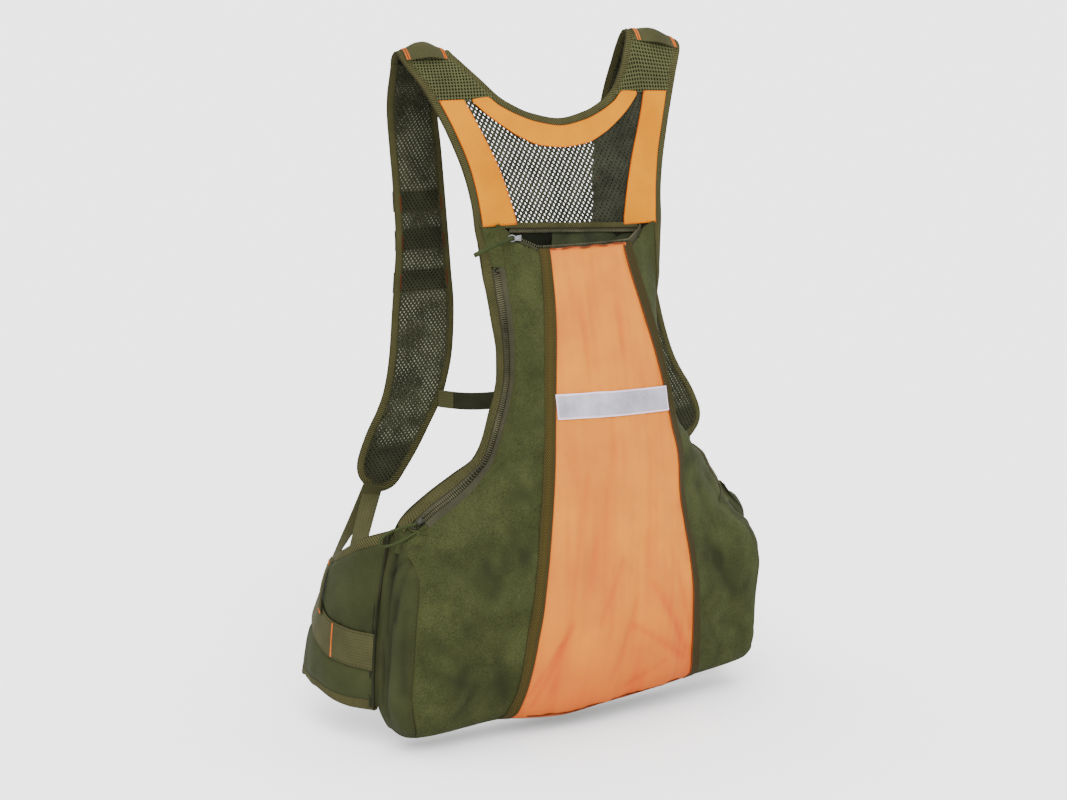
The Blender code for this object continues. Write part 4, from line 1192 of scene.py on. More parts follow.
def oval(
    width: float, thickness: float, start: float = 0.0, lift: float = 0.0, flat: float = 0.6, count: int = 14
) -> list[Pair]:
    """The outline of a strip's section: across from start to start + width, domed by flat.

    Args:
        width: Its width.
        thickness: Its thickness.
        start: Where it starts across.
        lift: How far out its middle lies.
        flat: How flat it is, 1 for an ellipse.
        count: How many points it has.

    Returns:
        The outline's points, across and lift.
    """
    turns = np.arange(count) * 2 * np.pi / count
    side, rise = np.cos(turns), np.sin(turns)
    across = start + width / 2 * (1 + np.sign(side) * np.abs(side) ** flat)
    return list(zip(across, lift + thickness / 2 * np.sign(rise) * np.abs(rise) ** flat))


def strip(name: str, place: Place, ends: Pair, section: Sequence[Pair], step: float = 2.5) -> Piece:
    """A strip of one section led along a line, closed at its ends.

    Args:
        name: The piece's name.
        place: Places for a distance along, a distance across and a lift.
        ends: The distances at which it starts and ends.
        section: The outline of its section, as pairs of across and lift.
        step: The distance between its rings.

    Returns:
        The piece.
    """
    rings = max(int(abs(ends[1] - ends[0]) / step), 3)
    count = len(section)
    piece, order = grid(name, count, rings)
    outline = np.array([*section, section[0]])
    distance = np.repeat(np.linspace(*ends, rings + 1), count + 1)
    across, lift = np.tile(outline, (rings + 1, 1)).T
    points = place(distance, across, lift).reshape(rings + 1, count + 1, 3)
    lay_out(piece, order, points)
    store(piece, "rim", (np.abs(np.abs(across - outline[:, 0].mean()) - np.ptp(outline[:, 0]) / 2))[order])
    close_up(piece, 0.00001, True)
    return piece


def copies(
    name: str, model: Piece, spots: Array, along: Array, up: Array,
    sizes: Array | float = 1.0, metres: bool = True,
) -> Piece:
    """Copies of a modelled shape in one piece, its x turned along and its z turned up.

    Args:
        name: The piece's name.
        model: The shape, in millimetres round its own middle, which is used up.
        spots: Where the copies go.
        along: The direction of each copy's x.
        up: The direction of each copy's z.
        sizes: How many times larger each copy is, one number or three for each.
        metres: Whether the places are moved to the part's frame.

    Returns:
        The piece.
    """
    shape = read_points(model)
    faces = [tuple(face.vertices) for face in model.data.polygons]
    bpy.data.objects.remove(model, do_unlink=True)
    along = unit(along)
    side = unit(np.cross(up, along))
    axes = np.stack([along, side, np.cross(along, side)], axis=1)
    sizes = np.broadcast_to(sizes, (len(spots), 3))
    points = spots[:, None] + np.einsum("nvk,nkd->nvd", shape[None] * sizes[:, None], axes)
    points = points.reshape(-1, 3)
    starts = np.arange(len(spots)) * len(shape)
    mesh = bpy.data.meshes.new(name)
    placed = to_part(points) if metres else points
    mesh.from_pydata(placed.tolist(), [], [tuple(k + s for k in face) for s in starts for face in faces])
    piece = bpy.data.objects.new(name, mesh)
    bpy.context.scene.collection.objects.link(piece)
    return piece


def stitch_model() -> Piece:
    """One stitch, one long and one wide, whose ends dip into the cloth.

    Returns:
        The model.
    """
    deselect()
    bpy.ops.mesh.primitive_uv_sphere_add(segments=6, ring_count=4, radius=0.5)
    model = bpy.context.object
    mode("EDIT")
    bpy.ops.transform.rotate(value=math.pi / 2, orient_axis="Y", center_override=(0, 0, 0))
    mode("OBJECT")
    points = read_points(model)
    points[:, 2] -= 2.2 * points[:, 0] ** 2
    move_points(model, points)
    return model


@dataclass
class Stitching:
    """Stitches of one thread, gathered line by line and sewn as one piece."""

    finish: Finish = THREAD
    spots: list[Array] = field(default_factory=list)
    along: list[Array] = field(default_factory=list)
    up: list[Array] = field(default_factory=list)
    sizes: list[Array] = field(default_factory=list)

    def line(
        self, place: Place, ends: Pair, across: float, lift: float,
        pitch: float = 4.0, width: float = 0.7,
    ) -> None:
        """Adds a line of stitches.

        Args:
            place: Places for a distance along, a distance across and a lift.
            ends: The distances at which the line starts and ends.
            across: How far across it runs.
            lift: How far out it lies.
            pitch: The distance from one stitch to the next.
            width: The thread's width.
        """
        distance = np.arange(min(ends), max(ends), pitch)
        across, lift = np.full(len(distance), across), np.full(len(distance), lift)
        spot = place(distance, across, lift)
        ahead = place(distance + 1.0, across, lift) - spot
        up = place(distance, across, lift + 1.0) - spot
        self.gather(spot, ahead, up, (pitch * 0.8, width, width))

    def tack(self, place: Place, start: Pair, end: Pair, lift: float, width: float = 2.6) -> None:
        """Adds a bar of dense stitches across the line between two spots.

        Args:
            place: Places for a distance along, a distance across and a lift.
            start: The bar's first spot, along and across.
            end: Its last spot.
            lift: How far out it lies.
            width: The bar's width.
        """
        count = max(int(math.dist(start, end) / 0.7), 3)
        distance, across = np.linspace(start, end, count).T
        lift = np.full(count, lift)
        spot = place(distance, across, lift)
        up = place(distance, across, lift + 1.0) - spot
        onward = np.gradient(spot, axis=0)
        slant = unit(np.cross(up, onward)) + unit(onward) * 0.25
        self.gather(spot, slant, up, (width, 0.85, 0.8))

    def gather(self, spot: Array, along: Array, up: Array, size: Triple) -> None:
        """Adds stitches to the thread's lists.

        Args:
            spot: Their places.
            along: The direction of each stitch.
            up: The direction in which each stands out.
            size: The length, width and height of all of them.
        """
        for kept, new in ((self.spots, spot), (self.along, along), (self.up, up)):
            kept.append(new)
        self.sizes.append(np.tile(size, (len(spot), 1)))

    def sew(self, name: str, slot: str) -> Piece:
        """Makes the stitches one piece.

        Args:
            name: The piece's name.
            slot: Its material slot.

        Returns:
            The piece.
        """
        parts = (np.concatenate(part) for part in (self.spots, self.along, self.up, self.sizes))
        spots, along, up, sizes = parts
        return dress(copies(name, stitch_model(), spots, along, up, sizes), self.finish, slot)


def threaded(finish: Finish) -> Stitching:
    """A dataclass field that holds each builder's own stitches of one thread."""
    return field(default_factory=lambda: Stitching(finish))


@dataclass(frozen=True)
class Net:
    """An open net: the steps between its holes on the flat cloth, and the holes' size."""

    step: Pair
    row: Pair
    hole: Pair
    lean: float
    thickness: float = 0.8

    def cell(self) -> Piece:
        """One hole with the cloth round it, out to halfway to the next holes.

        Returns:
            The model.
        """
        deselect()
        bpy.ops.mesh.primitive_circle_add(vertices=8, radius=1.0, fill_type="NOTHING")
        model = bpy.context.object
        mode("EDIT")
        bpy.ops.mesh.select_all(action="SELECT")
        bpy.ops.mesh.extrude_edges_move()
        bpy.ops.transform.resize(value=(2, 2, 2))
        bpy.ops.mesh.select_all(action="SELECT")
        mode("OBJECT")
        points = read_points(model)
        outer = np.hypot(points[:, 0], points[:, 1]) > 1.5
        corner = points / np.maximum(np.abs(points[:, :2]).max(axis=1), 1e-6)[:, None]
        corner = np.rint(corner)
        step, row = np.array((*self.step, 0)), np.array((*self.row, 0))
        rim = corner[:, :1] * step / 2 + corner[:, 1:2] * row / 2
        inner = points * (*np.divide(self.hole, 2), 0)
        inner[:, 0] += inner[:, 1] * self.lean
        move_points(model, np.where(outer[:, None], rim, inner))
        return model

    def spread(self, name: str, place: Sheet, inside: Sheet, box: Sequence[float]) -> Piece:
        """The net cut to an outline and laid over places.

        Args:
            name: The piece's name.
            place: Places for flat coordinates in millimetres.
            inside: Whether a hole at flat coordinates belongs to the net.
            box: The least and greatest flat coordinates.

        Returns:
            The piece.
        """
        low_x, high_x, low_y, high_y = box
        rows = np.arange(int((high_y - low_y) / self.row[1]) + 2)
        slip = abs(self.row[0]) * len(rows)
        count = np.arange(int((high_x - low_x + slip) / self.step[0]) + 2)
        i, j = (a.ravel() for a in np.meshgrid(count, rows))
        start = low_x - (slip if self.row[0] > 0 else 0.0)
        x = start + i * self.step[0] + j * self.row[0]
        y = low_y + j * self.row[1]
        keep = (x >= low_x) & (x <= high_x) & inside(x, y)
        spots = stack(x[keep], y[keep], 0.0)
        along, up = np.tile((1.0, 0, 0), (len(spots), 1)), np.tile((0, 0, 1.0), (len(spots), 1))
        piece = copies(name, self.cell(), spots, along, up, metres=False)
        close_up(piece, 0.02, False, False)
        flat = read_points(piece)
        move_points(piece, to_part(place(flat[:, 0], flat[:, 1])))
        write_uv(piece, flat[:, :2])
        if piece.data.polygons[0].normal.length:
            apply(piece, "SOLIDIFY", thickness=self.thickness * MM, offset=0.0, use_even_offset=False)
        return piece


YOKE_NET = Net((6.2, 0.0), (2.1, 3.1), (2.12, 2.72), -0.3)
STRAP_NET = Net((4.6, 0.0), (1.6, 2.7), (2.5, 2.3), -0.3)
STRAP_BACK_NET = Net((5.9, 0.0), (2.05, 3.45), (3.2, 2.95), -0.3)
SPACER_NET = Net((3.6, 0.0), (0.25, 3.5), (2.5, 2.7), 0.0, 1.2)


def tooth_model() -> Piece:
    """One turn of a zip's coil: a rounded bar across the zip with a thicker head.

    Returns:
        The model.
    """
    deselect()
    bpy.ops.mesh.primitive_cube_add(size=1.0)
    model = bpy.context.object
    mode("EDIT")
    bpy.ops.transform.resize(value=(1.05, 2.6, 1.1))
    bpy.ops.mesh.bevel(offset=0.28, segments=1)
    mode("OBJECT")
    points = read_points(model)
    points[:, 0] *= np.where(points[:, 1] > 0, 1.25, 0.8)
    move_points(model, points)
    return model


def teeth(
    name: str, place: Place, ends: Pair, across: float, lift: float,
    nodes: Sequence[str], apart: float = 0.0, size: float = 1.0,
) -> Piece:
    """A zip's teeth along a line, as one row or as two that mesh, set apart from the middle.

    Args:
        name: The piece's name.
        place: Places for a distance along, a distance across and a lift.
        ends: Where it starts and ends.
        across: How far across it runs.
        lift: How far out it lies.
        nodes: The solid that it stands for.
        apart: How far two rows are set from the middle.
        size: How many times wider the teeth are.

    Returns:
        The piece.
    """
    pitch = 1.9 * math.sqrt(size)
    distance = np.arange(ends[0], ends[1], pitch)
    rows = ((0.0, -apart, 1.0), (pitch / 2, apart, -1.0)) if apart else ((0.0, 0.0, 1.0),)
    spots, along, up = [], [], []
    for shift, offset, turn in rows:
        middle = np.full(len(distance), across + offset)
        spot = place(distance + shift, middle, np.full(len(distance), lift))
        spots.append(spot)
        along.append((place(distance + shift + 0.8, middle, lift) - spot) * turn)
        up.append(place(distance + shift, middle, lift + 1.0) - spot)
    parts = (np.concatenate(part) for part in (spots, along, up))
    made = copies(name, tooth_model(), *parts, (math.sqrt(size), size, 1.0))
    return dress(made, TEETH, "teeth", *nodes)


def slider(name: str, finish: Finish, spot: Array, along: Array, up: Array, node: str) -> Piece:
    """A zip slider: a tapered body with a raised bridge, and a drop-shaped ring for its cord.

    Args:
        name: The piece's name.
        finish: Its metal.
        spot: Its place.
        along: The direction of its zip.
        up: The direction away from the cloth.
        node: The solid that it stands for.

    Returns:
        The piece.
    """
    deselect()
    bpy.ops.mesh.primitive_cube_add(size=1.0)
    body = bpy.context.object
    mode("EDIT")
    bpy.ops.transform.resize(value=(8.0, 6.4, 2.4))
    mode("OBJECT")
    for face in body.data.polygons:
        face.select = face.normal.z > 0.5
    mode("EDIT")
    bpy.ops.mesh.inset(thickness=1.4)
    bpy.ops.mesh.extrude_region_move(TRANSFORM_OT_translate={"value": (0, 0, 1.4)})
    bpy.ops.transform.resize(value=(0.8, 0.5, 1.0))
    bpy.ops.mesh.select_all(action="SELECT")
    bpy.ops.mesh.bevel(offset=0.55, segments=3)
    mode("OBJECT")
    points = read_points(body)
    points[:, 1] *= 1.0 - 0.05 * np.clip(points[:, 0] + 4.0, 0, 8)
    move_points(body, points)
    deselect()
    bpy.ops.mesh.primitive_torus_add(
        major_segments=28, minor_segments=8, major_radius=2.6, minor_radius=0.75, location=(5.6, 0, 1.9)
    )
    ring = bpy.context.object
    bpy.ops.object.transform_apply(location=True, rotation=True, scale=True)
    points = read_points(ring)
    points[:, 1] *= np.clip(0.45 + 0.13 * points[:, 0], 0.5, 1.15)
    points[:, 0] = 5.6 + (points[:, 0] - 5.6) * 1.5
    points[:, 2] -= 0.35 * np.clip(points[:, 0] - 3.0, 0, 8)
    move_points(ring, points)
    ring.select_set(True)
    body.select_set(True)
    bpy.context.view_layer.objects.active = body
    bpy.ops.object.join()
    return dress(copies(name, body, spot[None], along[None], up[None]), finish, "slider", node)


def cord(name: str, points: Rows, diameter: float, node: str) -> Piece:
    """A braided cord pull along its route.

    Args:
        name: The piece's name.
        points: The points that it passes.
        diameter: Its diameter.
        node: The solid that it stands for.

    Returns:
        The piece.
    """
    route = Route(points)
    place = free_track(route, (0.0, 1.0, 0.0))
    section = oval(diameter, diameter, -diameter / 2, 0.0, 1.0, 12)
    piece = dress(strip(name, place, (0.0, route.length), section, 1.2), CORD, "cord", node)
    path = to_part(route.at(np.linspace(0, route.length, 40)))
    LOG.info("%s: %.1f mm of cord", name, route.length)
    return piece


@dataclass
class FrontPanels:
    """The orange panel, the tapes over its seams, the reflective tape and the suede panels."""

    under: float = 3.0
    reflective_z: float = 310.7
    reflective_slope: float = -0.033
    reflective_width: float = 25.0
    hem_length: float = 200.0
    stitches: Stitching = threaded(THREAD)
    pale: Stitching = threaded(PALE_THREAD)
    creases: tuple[Crease, ...] = (
        Crease((92, 38), (38, 118), 5.0, 1.6), Crease((90, 28), (18, 76), 4.5, 1.5),
        Crease((94, 60), (64, 150), 4.5, 1.3), Crease((-8, 268), (-44, 120), 6.0, 1.1),
        Crease((40, 270), (34, 140), 5.0, 1.0), Crease((-42, 240), (-78, 20), 6.0, 1.2),
        Crease((-2, 150), (-30, 85), 4.5, 1.1), Crease((20, 110), (-10, 20), 5.0, 1.2),
        Crease((-60, 90), (-100, 6), 4.0, 1.5), Crease((-74, 70), (-104, 20), 3.5, 1.3),
        Crease((60, 30), (10, 8), 4.0, 1.1), Crease((30, 440), (20, 360), 5.0, 0.8),
        Crease((-30, 430), (-18, 350), 6.0, 0.8),
    )
    suede_creases: tuple[Crease, ...] = (
        Crease((-215, 95), (-180, 60), 8.0, 1.8), Crease((-222, 60), (-170, 40), 7.0, 1.6),
        Crease((-190, 170), (-150, 130), 10.0, 1.5), Crease((-140, 60), (-128, 10), 6.0, 1.8),
        Crease((-168, 30), (-190, 6), 5.0, 1.5), Crease((-120, 190), (-104, 100), 9.0, 1.2),
        Crease((125, 150), (160, 90), 8.0, 2.0), Crease((140, 60), (185, 40), 7.0, 2.0),
        Crease((118, 210), (140, 160), 8.0, 1.6), Crease((112, 80), (150, 20), 6.0, 1.6),
    )
    suede_patches: tuple[Triple, ...] = (
        (-146, 152, 26), (-118, 168, 20), (-184, 40, 22), (-134, 32, 26), (-104, 228, 20),
        (-172, 104, 18), (-92, 300, 14), (140, 128, 22), (172, 90, 20), (104, 240, 16),
    )

    def orange(self) -> None:
        """The orange panel, with its creases and rolled top edge."""

        def place(u: Array, v: Array) -> Array:
            """Places on the sheet."""
            z = BAG_LOW_Z + (MOUTH_Z - BAG_LOW_Z) * v
            under = np.where(u < 0.5, self.under, 2.0)
            run = (2 * u - 1) * (UNROLLED.run(1.0, z) + under)
            return UNROLLED.both(run, z)

        def relief(points: Array, rim: Array, long: Array) -> Array:
            """How far out the cloth stands."""
            x, z = points[:, 0], points[:, 2]
            out = 0.5 * ruffle(x, z * 0.5, 60.0, 3) + 0.3 * ruffle(x, z * 0.12, 15.0, 4)
            out = out - sum(crease.press(x, z) for crease in self.creases)
            pucker = np.exp(-rim / 5.0) * (0.5 + 0.5 * np.sin(z * 0.75)) * 0.5
            roll = 1.6 * np.exp(-(((long.max() - long) / 3.0) ** 2)) * (1 + 0.4 * np.sin(x * 0.3))
            return (out - pucker) * capped(rim / 5.0) + roll

        def redder(points: Array, rim: Array) -> Array:
            """How far the pressed shade shows."""
            low = capped((150.0 - points[:, 2]) / 150.0) ** 1.4
            return 0.25 + 2.3 * low + 0.8 * np.exp(-rim / 5.0)

        piece = cloth("front_orange_panel", place, (76, 150), 1.4, relief, tint=redder)
        dress(piece, ORANGE, "orange", "front_orange_panel")

        def reflective(u: Array, v: Array) -> Array:
            """Places on the sheet."""
            run = (2 * u - 1) * UNROLLED.run(1.0, np.full(len(u), self.reflective_z))
            z = self.reflective_z + self.reflective_slope * run + (v - 0.5) * self.reflective_width
            return UNROLLED.both(run, z, 1.6)

        def ripple(points: Array, rim: Array, long: Array) -> Array:
            """How far out the cloth stands."""
            return 0.35 * ruffle(points[:, 0], points[:, 2], 34.0, 8) * capped(rim / 4.0)

        piece = cloth("reflective_tape", reflective, (60, 10), 0.9, ripple)
        dress(piece, REFLECTIVE, "reflective", "reflective_tape")
        for edge in (-1, 1):
            z = self.reflective_z + edge * (self.reflective_width / 2 - 1.6)
            reach = UNROLLED.run(1.0, z)[0] - 1.0
            lean = self.reflective_slope * reach
            flat = Route([(-reach, z - lean), (reach, z + lean)])

            def track(distance: Array, across: Array, lift: Array, flat: Route = flat) -> Array:
                """Places beside the line."""
                run = flat.at(distance)[:, 0]
                return UNROLLED.both(run, flat.at(distance)[:, 1] + across, lift)

            self.pale.line(track, (1.0, flat.length), 0.0, 1.75, 3.2, 0.6)

        def hem(distance: Array, across: Array, lift: Array) -> Array:
            """Places beside the line."""
            run = np.asarray(distance, float) - self.hem_length / 2
            z = BAG_LOW_Z + 4.0 + across + 0.6 * np.sin(run * 0.16)
            return UNROLLED.both(run, z, lift)

        piece = strip("orange_hem", hem, (0.0, self.hem_length), oval(2.6, 2.2, -1.3, 0.6, 0.9, 10))
        dress(piece, RED_EDGE, "orange")

    def trims(self) -> None:
        """The herringbone tapes over the seams between orange and suede, sewn at both edges."""
        for side, word in SIDES:

            def place(distance: Array, across: Array, lift: Array, side: int = side) -> Array:
                """Places beside the line."""
                z = BAG_LOW_Z + distance
                inner = UNROLLED.place(UNROLLED.run(1.0, z) + (1.4 if side == LEFT else -0.6), z, side, lift)
                outer = UNROLLED.place(UNROLLED.run(2.0, z) + (0.6 if side == LEFT else 2.4), z, side, lift)
                return inner + (outer - inner) * np.asarray(across)[..., None]

            section = [(a / 12.0, b) for a, b in oval(12.0, 1.3, 0.0, 0.8, 0.3, 16)]
            piece = strip(f"trim_tape_{word}", place, (0.0, MOUTH_Z - BAG_LOW_Z + 1.0), section, 3.0)
            # painted shade: the right trim takes the darker shaded copy
            dress(piece, TRIM if side == LEFT else SHADED_TRIM, "trim", f"trim_tape_{word}")
            for across in (0.12, 0.88):
                self.stitches.line(place, (2.0, MOUTH_Z - BAG_LOW_Z - 1.0), across, 1.5, 3.6, 0.6)
            section = [(a / 12.0 - 0.06, b) for a, b in oval(1.2, 1.4, 0.0, 0.7, 0.8, 8)]
            piece = strip(f"trim_edge_{word}", place, (0.0, MOUTH_Z - BAG_LOW_Z), section, 3.0)
            dress(piece, RED_EDGE, "trim")

    def suede_limit(self, side: int) -> Route:
        """The suede's outer limit on the unrolled skin: up the gusset's fold, then the side.

        Args:
            side: LEFT or RIGHT.

        Returns:
            The limit, from low to high.
        """
        full = 23.0 if side == LEFT else BINDING_WIDTH + 0.5
        outline = seam_outline(198.0, 491.0 if side == LEFT else 484.5)
        bent = outline.length - np.array([0.0, 6.0, 14.0])
        along = np.concatenate([bent, np.linspace(outline.length - 24.0, 0, 14)])
        covers = np.interp(outline.length - along, [0.0, 6.0, 14.0, 24.0], [4.0, 8.0, full - 3.0, full])
        spots = inset_spot(outline, along, covers)
        fold = [(UNROLLED.run(3.0, z)[0], z) for z in (BAG_LOW_Z, 30.0, 70.0, 110.0, 145.0)]
        corner = ((3.1, 164.0), (3.38, 177.0), (3.72, 186.0))
        bend = [(UNROLLED.run(station, z)[0], z) for station, z in corner]
        return Route([*fold, *bend, *spots.tolist()], 6)

    def suede(self) -> None:
        """The two suede panels, creased and puckered along their seams."""
        for side, word in SIDES:
            limit = self.suede_limit(side)

            def place(u: Array, v: Array, side: int = side, limit: Route = limit) -> Array:
                """Places on the sheet."""
                across = outward(u, side)
                z = BAG_LOW_Z + (MOUTH_Z - BAG_LOW_Z) * v
                inner = stack(UNROLLED.run(2.0, z) - 2.0, z)
                spot = inner + (limit.at(limit.length * v) - inner) * across[:, None]
                below = 3.0 * capped((90.0 - spot[:, 0]) / 6.0)
                spot[:, 1] = np.minimum(spot[:, 1], mouth_height(spot[:, 0], side) - below)
                return UNROLLED.place(spot[:, 0], spot[:, 1], side)

            def relief(points: Array, rim: Array, long: Array) -> Array:
                """How far out the cloth stands."""
                x, z = points[:, 0], points[:, 2]
                out = 0.8 * ruffle(x, z, 70.0, 11) + 0.25 * ruffle(x, z, 22.0, 5)
                out = out - sum(crease.press(x, z) for crease in self.suede_creases)
                pucker = np.exp(-rim / 4.0) * (0.5 + 0.5 * np.sin(long * 0.8)) * 0.4
                return (out - pucker) * capped(rim / 9.0)

            def patches(points: Array, rim: Array) -> Array:
                """How far the pressed shade shows."""
                x, z = points[:, 0], points[:, 2]
                far = [
                    (x - a) ** 2 / wide**2 + (z - b) ** 2 / (0.7 * wide) ** 2
                    for a, b, wide in self.suede_patches
                ]
                dark = np.clip(sum(np.exp(-one) for one in far), 0.0, 1.2)
                return 2.2 * dark * (1 + 0.5 * ruffle(x, z, 24.0, 17))

            piece = cloth(f"front_suede_{word}", place, (64, 160), 1.8, relief, tint=patches)
            dress(piece, SUEDE, "suede", f"front_suede_{word}")
            fold = skin_track(limit, side)
            low = limit.length * 0.42
            self.stitches.line(fold, (6.0, low), 2.2 if side == LEFT else -2.2, 0.2, 4.0, 0.6)
            self.stitches.line(fold, (low + 30.0, limit.length - 4.0), -2.6, 0.2, 4.0, 0.6)

    def build(self) -> None:
        """Builds the panels and their stitches."""
        self.orange()
        self.trims()
        self.suede()
        self.stitches.sew("front_stitches", "trim")
        self.pale.sew("reflective_stitches", "reflective")


@dataclass
class Shell:
    """The gussets, bottom and back that close the bag."""

    rise: float = 15.0
    top: float = 180.0
    creases: tuple[Crease, ...] = (
        Crease((-10, 178), (-15, 95), 3.5, 2.6), Crease((-34, 176), (-30, 110), 4.5, 2.2),
        Crease((-26, 130), (-20, 10), 5.0, 2.4), Crease((-6, 80), (-10, 20), 3.5, 2.0),
        Crease((-44, 120), (-50, 40), 5.0, 1.8), Crease((-8, 150), (-30, 172), 4.0, 1.8),
    )

    def gussets(self) -> None:
        """The plain twill sides, each with a soft crease down it."""
        for side, word in SIDES:

            def place(u: Array, v: Array, side: int = side) -> Array:
                """Places on the sheet."""
                across = outward(u, side)
                z = BAG_LOW_Z + (self.top + self.rise * across - BAG_LOW_Z) * v
                inner, outer = UNROLLED.run(3.0, z) - 3.0, UNROLLED.run(4.0, z) - 0.3
                under = -1.4 * capped(1.0 - across * 7.0)
                return UNROLLED.place(inner + (outer - inner) * across, z, side, under)

            def relief(points: Array, rim: Array, long: Array) -> Array:
                """How far out the cloth stands."""
                y, z = points[:, 1], points[:, 2]
                out = 0.9 * ruffle(y, z * 0.5, 46.0, 21) - sum(crease.press(y, z) for crease in self.creases)
                return out * capped(rim / 7.0)

            dress(cloth(f"gusset_{word}", place, (26, 66), 1.5, relief), TWILL, "twill", f"gusset_{word}")

    def gores(self) -> None:
        """The pieces that close the sides between gusset, suede and zip."""
        for side, word in SIDES:

            def place(u: Array, v: Array, side: int = side) -> Array:
                """Places on the sheet."""
                across = outward(u, side)
                z = 172.0 + 52.0 * v
                inner, outer = UNROLLED.run(3.0, z) - 14.0, UNROLLED.run(4.0, z) - 1.0
                return UNROLLED.place(inner + (outer - inner) * across, z, side, -1.1)

            dress(cloth(f"side_gore_{word}", place, (20, 16), 1.0), SUEDE, "suede")

    def bottom(self) -> None:
        """The bottom, sagging a little between its edges."""
        stations = np.array((0, 0.2, 0.4, 0.6, 0.8, 1.0, 2.0, 2.2, 2.4, 2.6, 2.8, 3.0, 3.3))
        count = len(stations)
        low = np.full(count, BAG_LOW_Z)
        fronts = {side: skin_flat(low, stations, np.full(count, side)) for side in (LEFT, RIGHT)}

        def place(u: Array, v: Array) -> Array:
            """Places on the sheet."""
            across = 2 * u - 1
            step = np.abs(across) * (count - 1)
            left, right = (
                [np.interp(step, np.arange(count), column) for column in fronts[side].T]
                for side in (LEFT, RIGHT)
            )
            x, y = (np.where(across < 0, left[k], right[k]) for k in (0, 1))
            front = stack(x * 0.985, y + 6.0, BAG_LOW_Z + LOWER.at(x)[0] - 0.9)
            rear = stack(x * 0.985, -2.5, BAG_LOW_Z + 12.0)
            points = rear + (front - rear) * v[:, None]
            points[:, 2] -= 3.0 * np.sin(np.pi * v)
            return points

        def relief(points: Array, rim: Array, long: Array) -> Array:
            """How far out the cloth stands."""
            return 0.7 * ruffle(points[:, 0], points[:, 1], 60.0, 31) * capped(rim / 8.0)

        dress(cloth("bag_bottom", place, (96, 20), 1.5, relief), TWILL, "twill", "bag_bottom")

    def back(self) -> None:
        """The back panel on the wearer's side, with two sewn lines down it."""
        run = Route([row for row in SIDE_EDGE if row[0] <= YOKE_BASE_Z])

        def place(u: Array, v: Array) -> Array:
            """Places on the sheet."""
            z = np.minimum(6.0 + np.maximum(run.at(run.length * v)[:, 0] - 6.0, 0.0), BASE_Z)
            side = np.where(u < 0.5, RIGHT, LEFT)
            half = np.abs(1 - 2 * u) * (seam_x(z) - 3.0)
            tuck = seam_draw(z) * np.minimum((half / SIDE.at(z)[0]) ** 2, 1.0)
            return stack(side * (half - np.where(side > 0, tuck, 0.0)), back_y(z) + 3.6, z)

        def relief(points: Array, rim: Array, long: Array) -> Array:
            """How far out the cloth stands."""
            seams = np.exp(-np.abs(np.abs(points[:, 0]) - 34.0) / 5.0) * 1.8
            soft = 1.8 + 0.5 * ruffle(points[:, 0], points[:, 2], 70.0, 41) - seams
            return soft * capped(rim / 12.0)

        dress(cloth("back_panel", place, (60, 96), 1.5, relief), TWILL, "twill", "back_panel")
        sewn = Stitching(DARK_THREAD)
        for x in (-34.0, 34.0):

            def track(distance: Array, across: Array, lift: Array, x: float = x) -> Array:
                """Places beside the line."""
                z = 12.0 + distance
                return stack(x + across, back_y(z) + 3.7 + np.asarray(lift), z)

            sewn.line(track, (0.0, 462.0), 0.0, 0.3)
        sewn.sew("back_stitches", "twill")

    def build(self) -> None:
        """Builds the shell."""
        self.gussets()
        self.gores()
        self.bottom()
        self.back()


@dataclass
class Bindings:
    """The ribbed bindings down the sides of yoke and bag and round the neck."""

    thickness: float = 3.4
    stitches: Stitching = threaded(DARK_THREAD)

    def side_track(self, side: int) -> tuple[Place, float]:
        """Places along the side edge, on the yoke above and on the bag's skin below.

        Args:
            side: LEFT or RIGHT.

        Returns:
            The function that gives the places, and the edge's length.
        """
        seam = seam_outline(BINDING_END_Z, YOKE_BASE_Z)
        heights = [row[0] for row in reversed(SIDE_EDGE) if row[0] > BINDING_END_Z + 4.0]
        outline = [(side * SIDE.at(z)[0], harness_distance(z)) for z in (*heights, BINDING_END_Z)]
        run = Route(outline)
        flat = harness_track(run, side == LEFT)
        on_bag = skin_track(seam, side)

        def place(distance: Array, across: Array, lift: Array) -> Array:
            """Places beside the line."""
            distance, across, lift = (np.array(a, float) for a in np.broadcast_arrays(distance, across, lift))
            z = HARNESS.at(run.at(distance)[:, 1])[:, 1]
            share = capped((z - 462.0) / 24.0)[:, None]
            down = np.interp(-z, -seam.points[:, 1], seam.lengths)
            return on_bag(down, across, lift) * (1 - share) + flat(distance, across, lift) * share

        return place, run.length

    def build(self) -> None:
        """Builds the bindings with a line of stitches down each."""
        section = oval(BINDING_WIDTH, self.thickness, 0.0, 0.0, 0.6, 16)
        for side, word in SIDES:
            place, length = self.side_track(side)
            piece = strip(f"side_binding_{word}", place, (0.0, length), section)
            dress(piece, BINDING, "binding", f"side_binding_{word}")
            self.stitches.line(place, (4.0, length - 3.0), BINDING_WIDTH - 2.2, 1.55)
        half = [(x, harness_distance(z)) for z, x in NECK_EDGE]
        run = Route([(-x, s) for x, s in reversed(half)] + half[1:])
        place = harness_track(run)
        dress(strip("neck_binding", place, (0.0, run.length), section), BINDING, "binding", "neck_binding")
        self.stitches.line(place, (3.0, run.length - 3.0), BINDING_WIDTH - 2.2, 1.55)
        self.stitches.sew("binding_stitches", "binding")


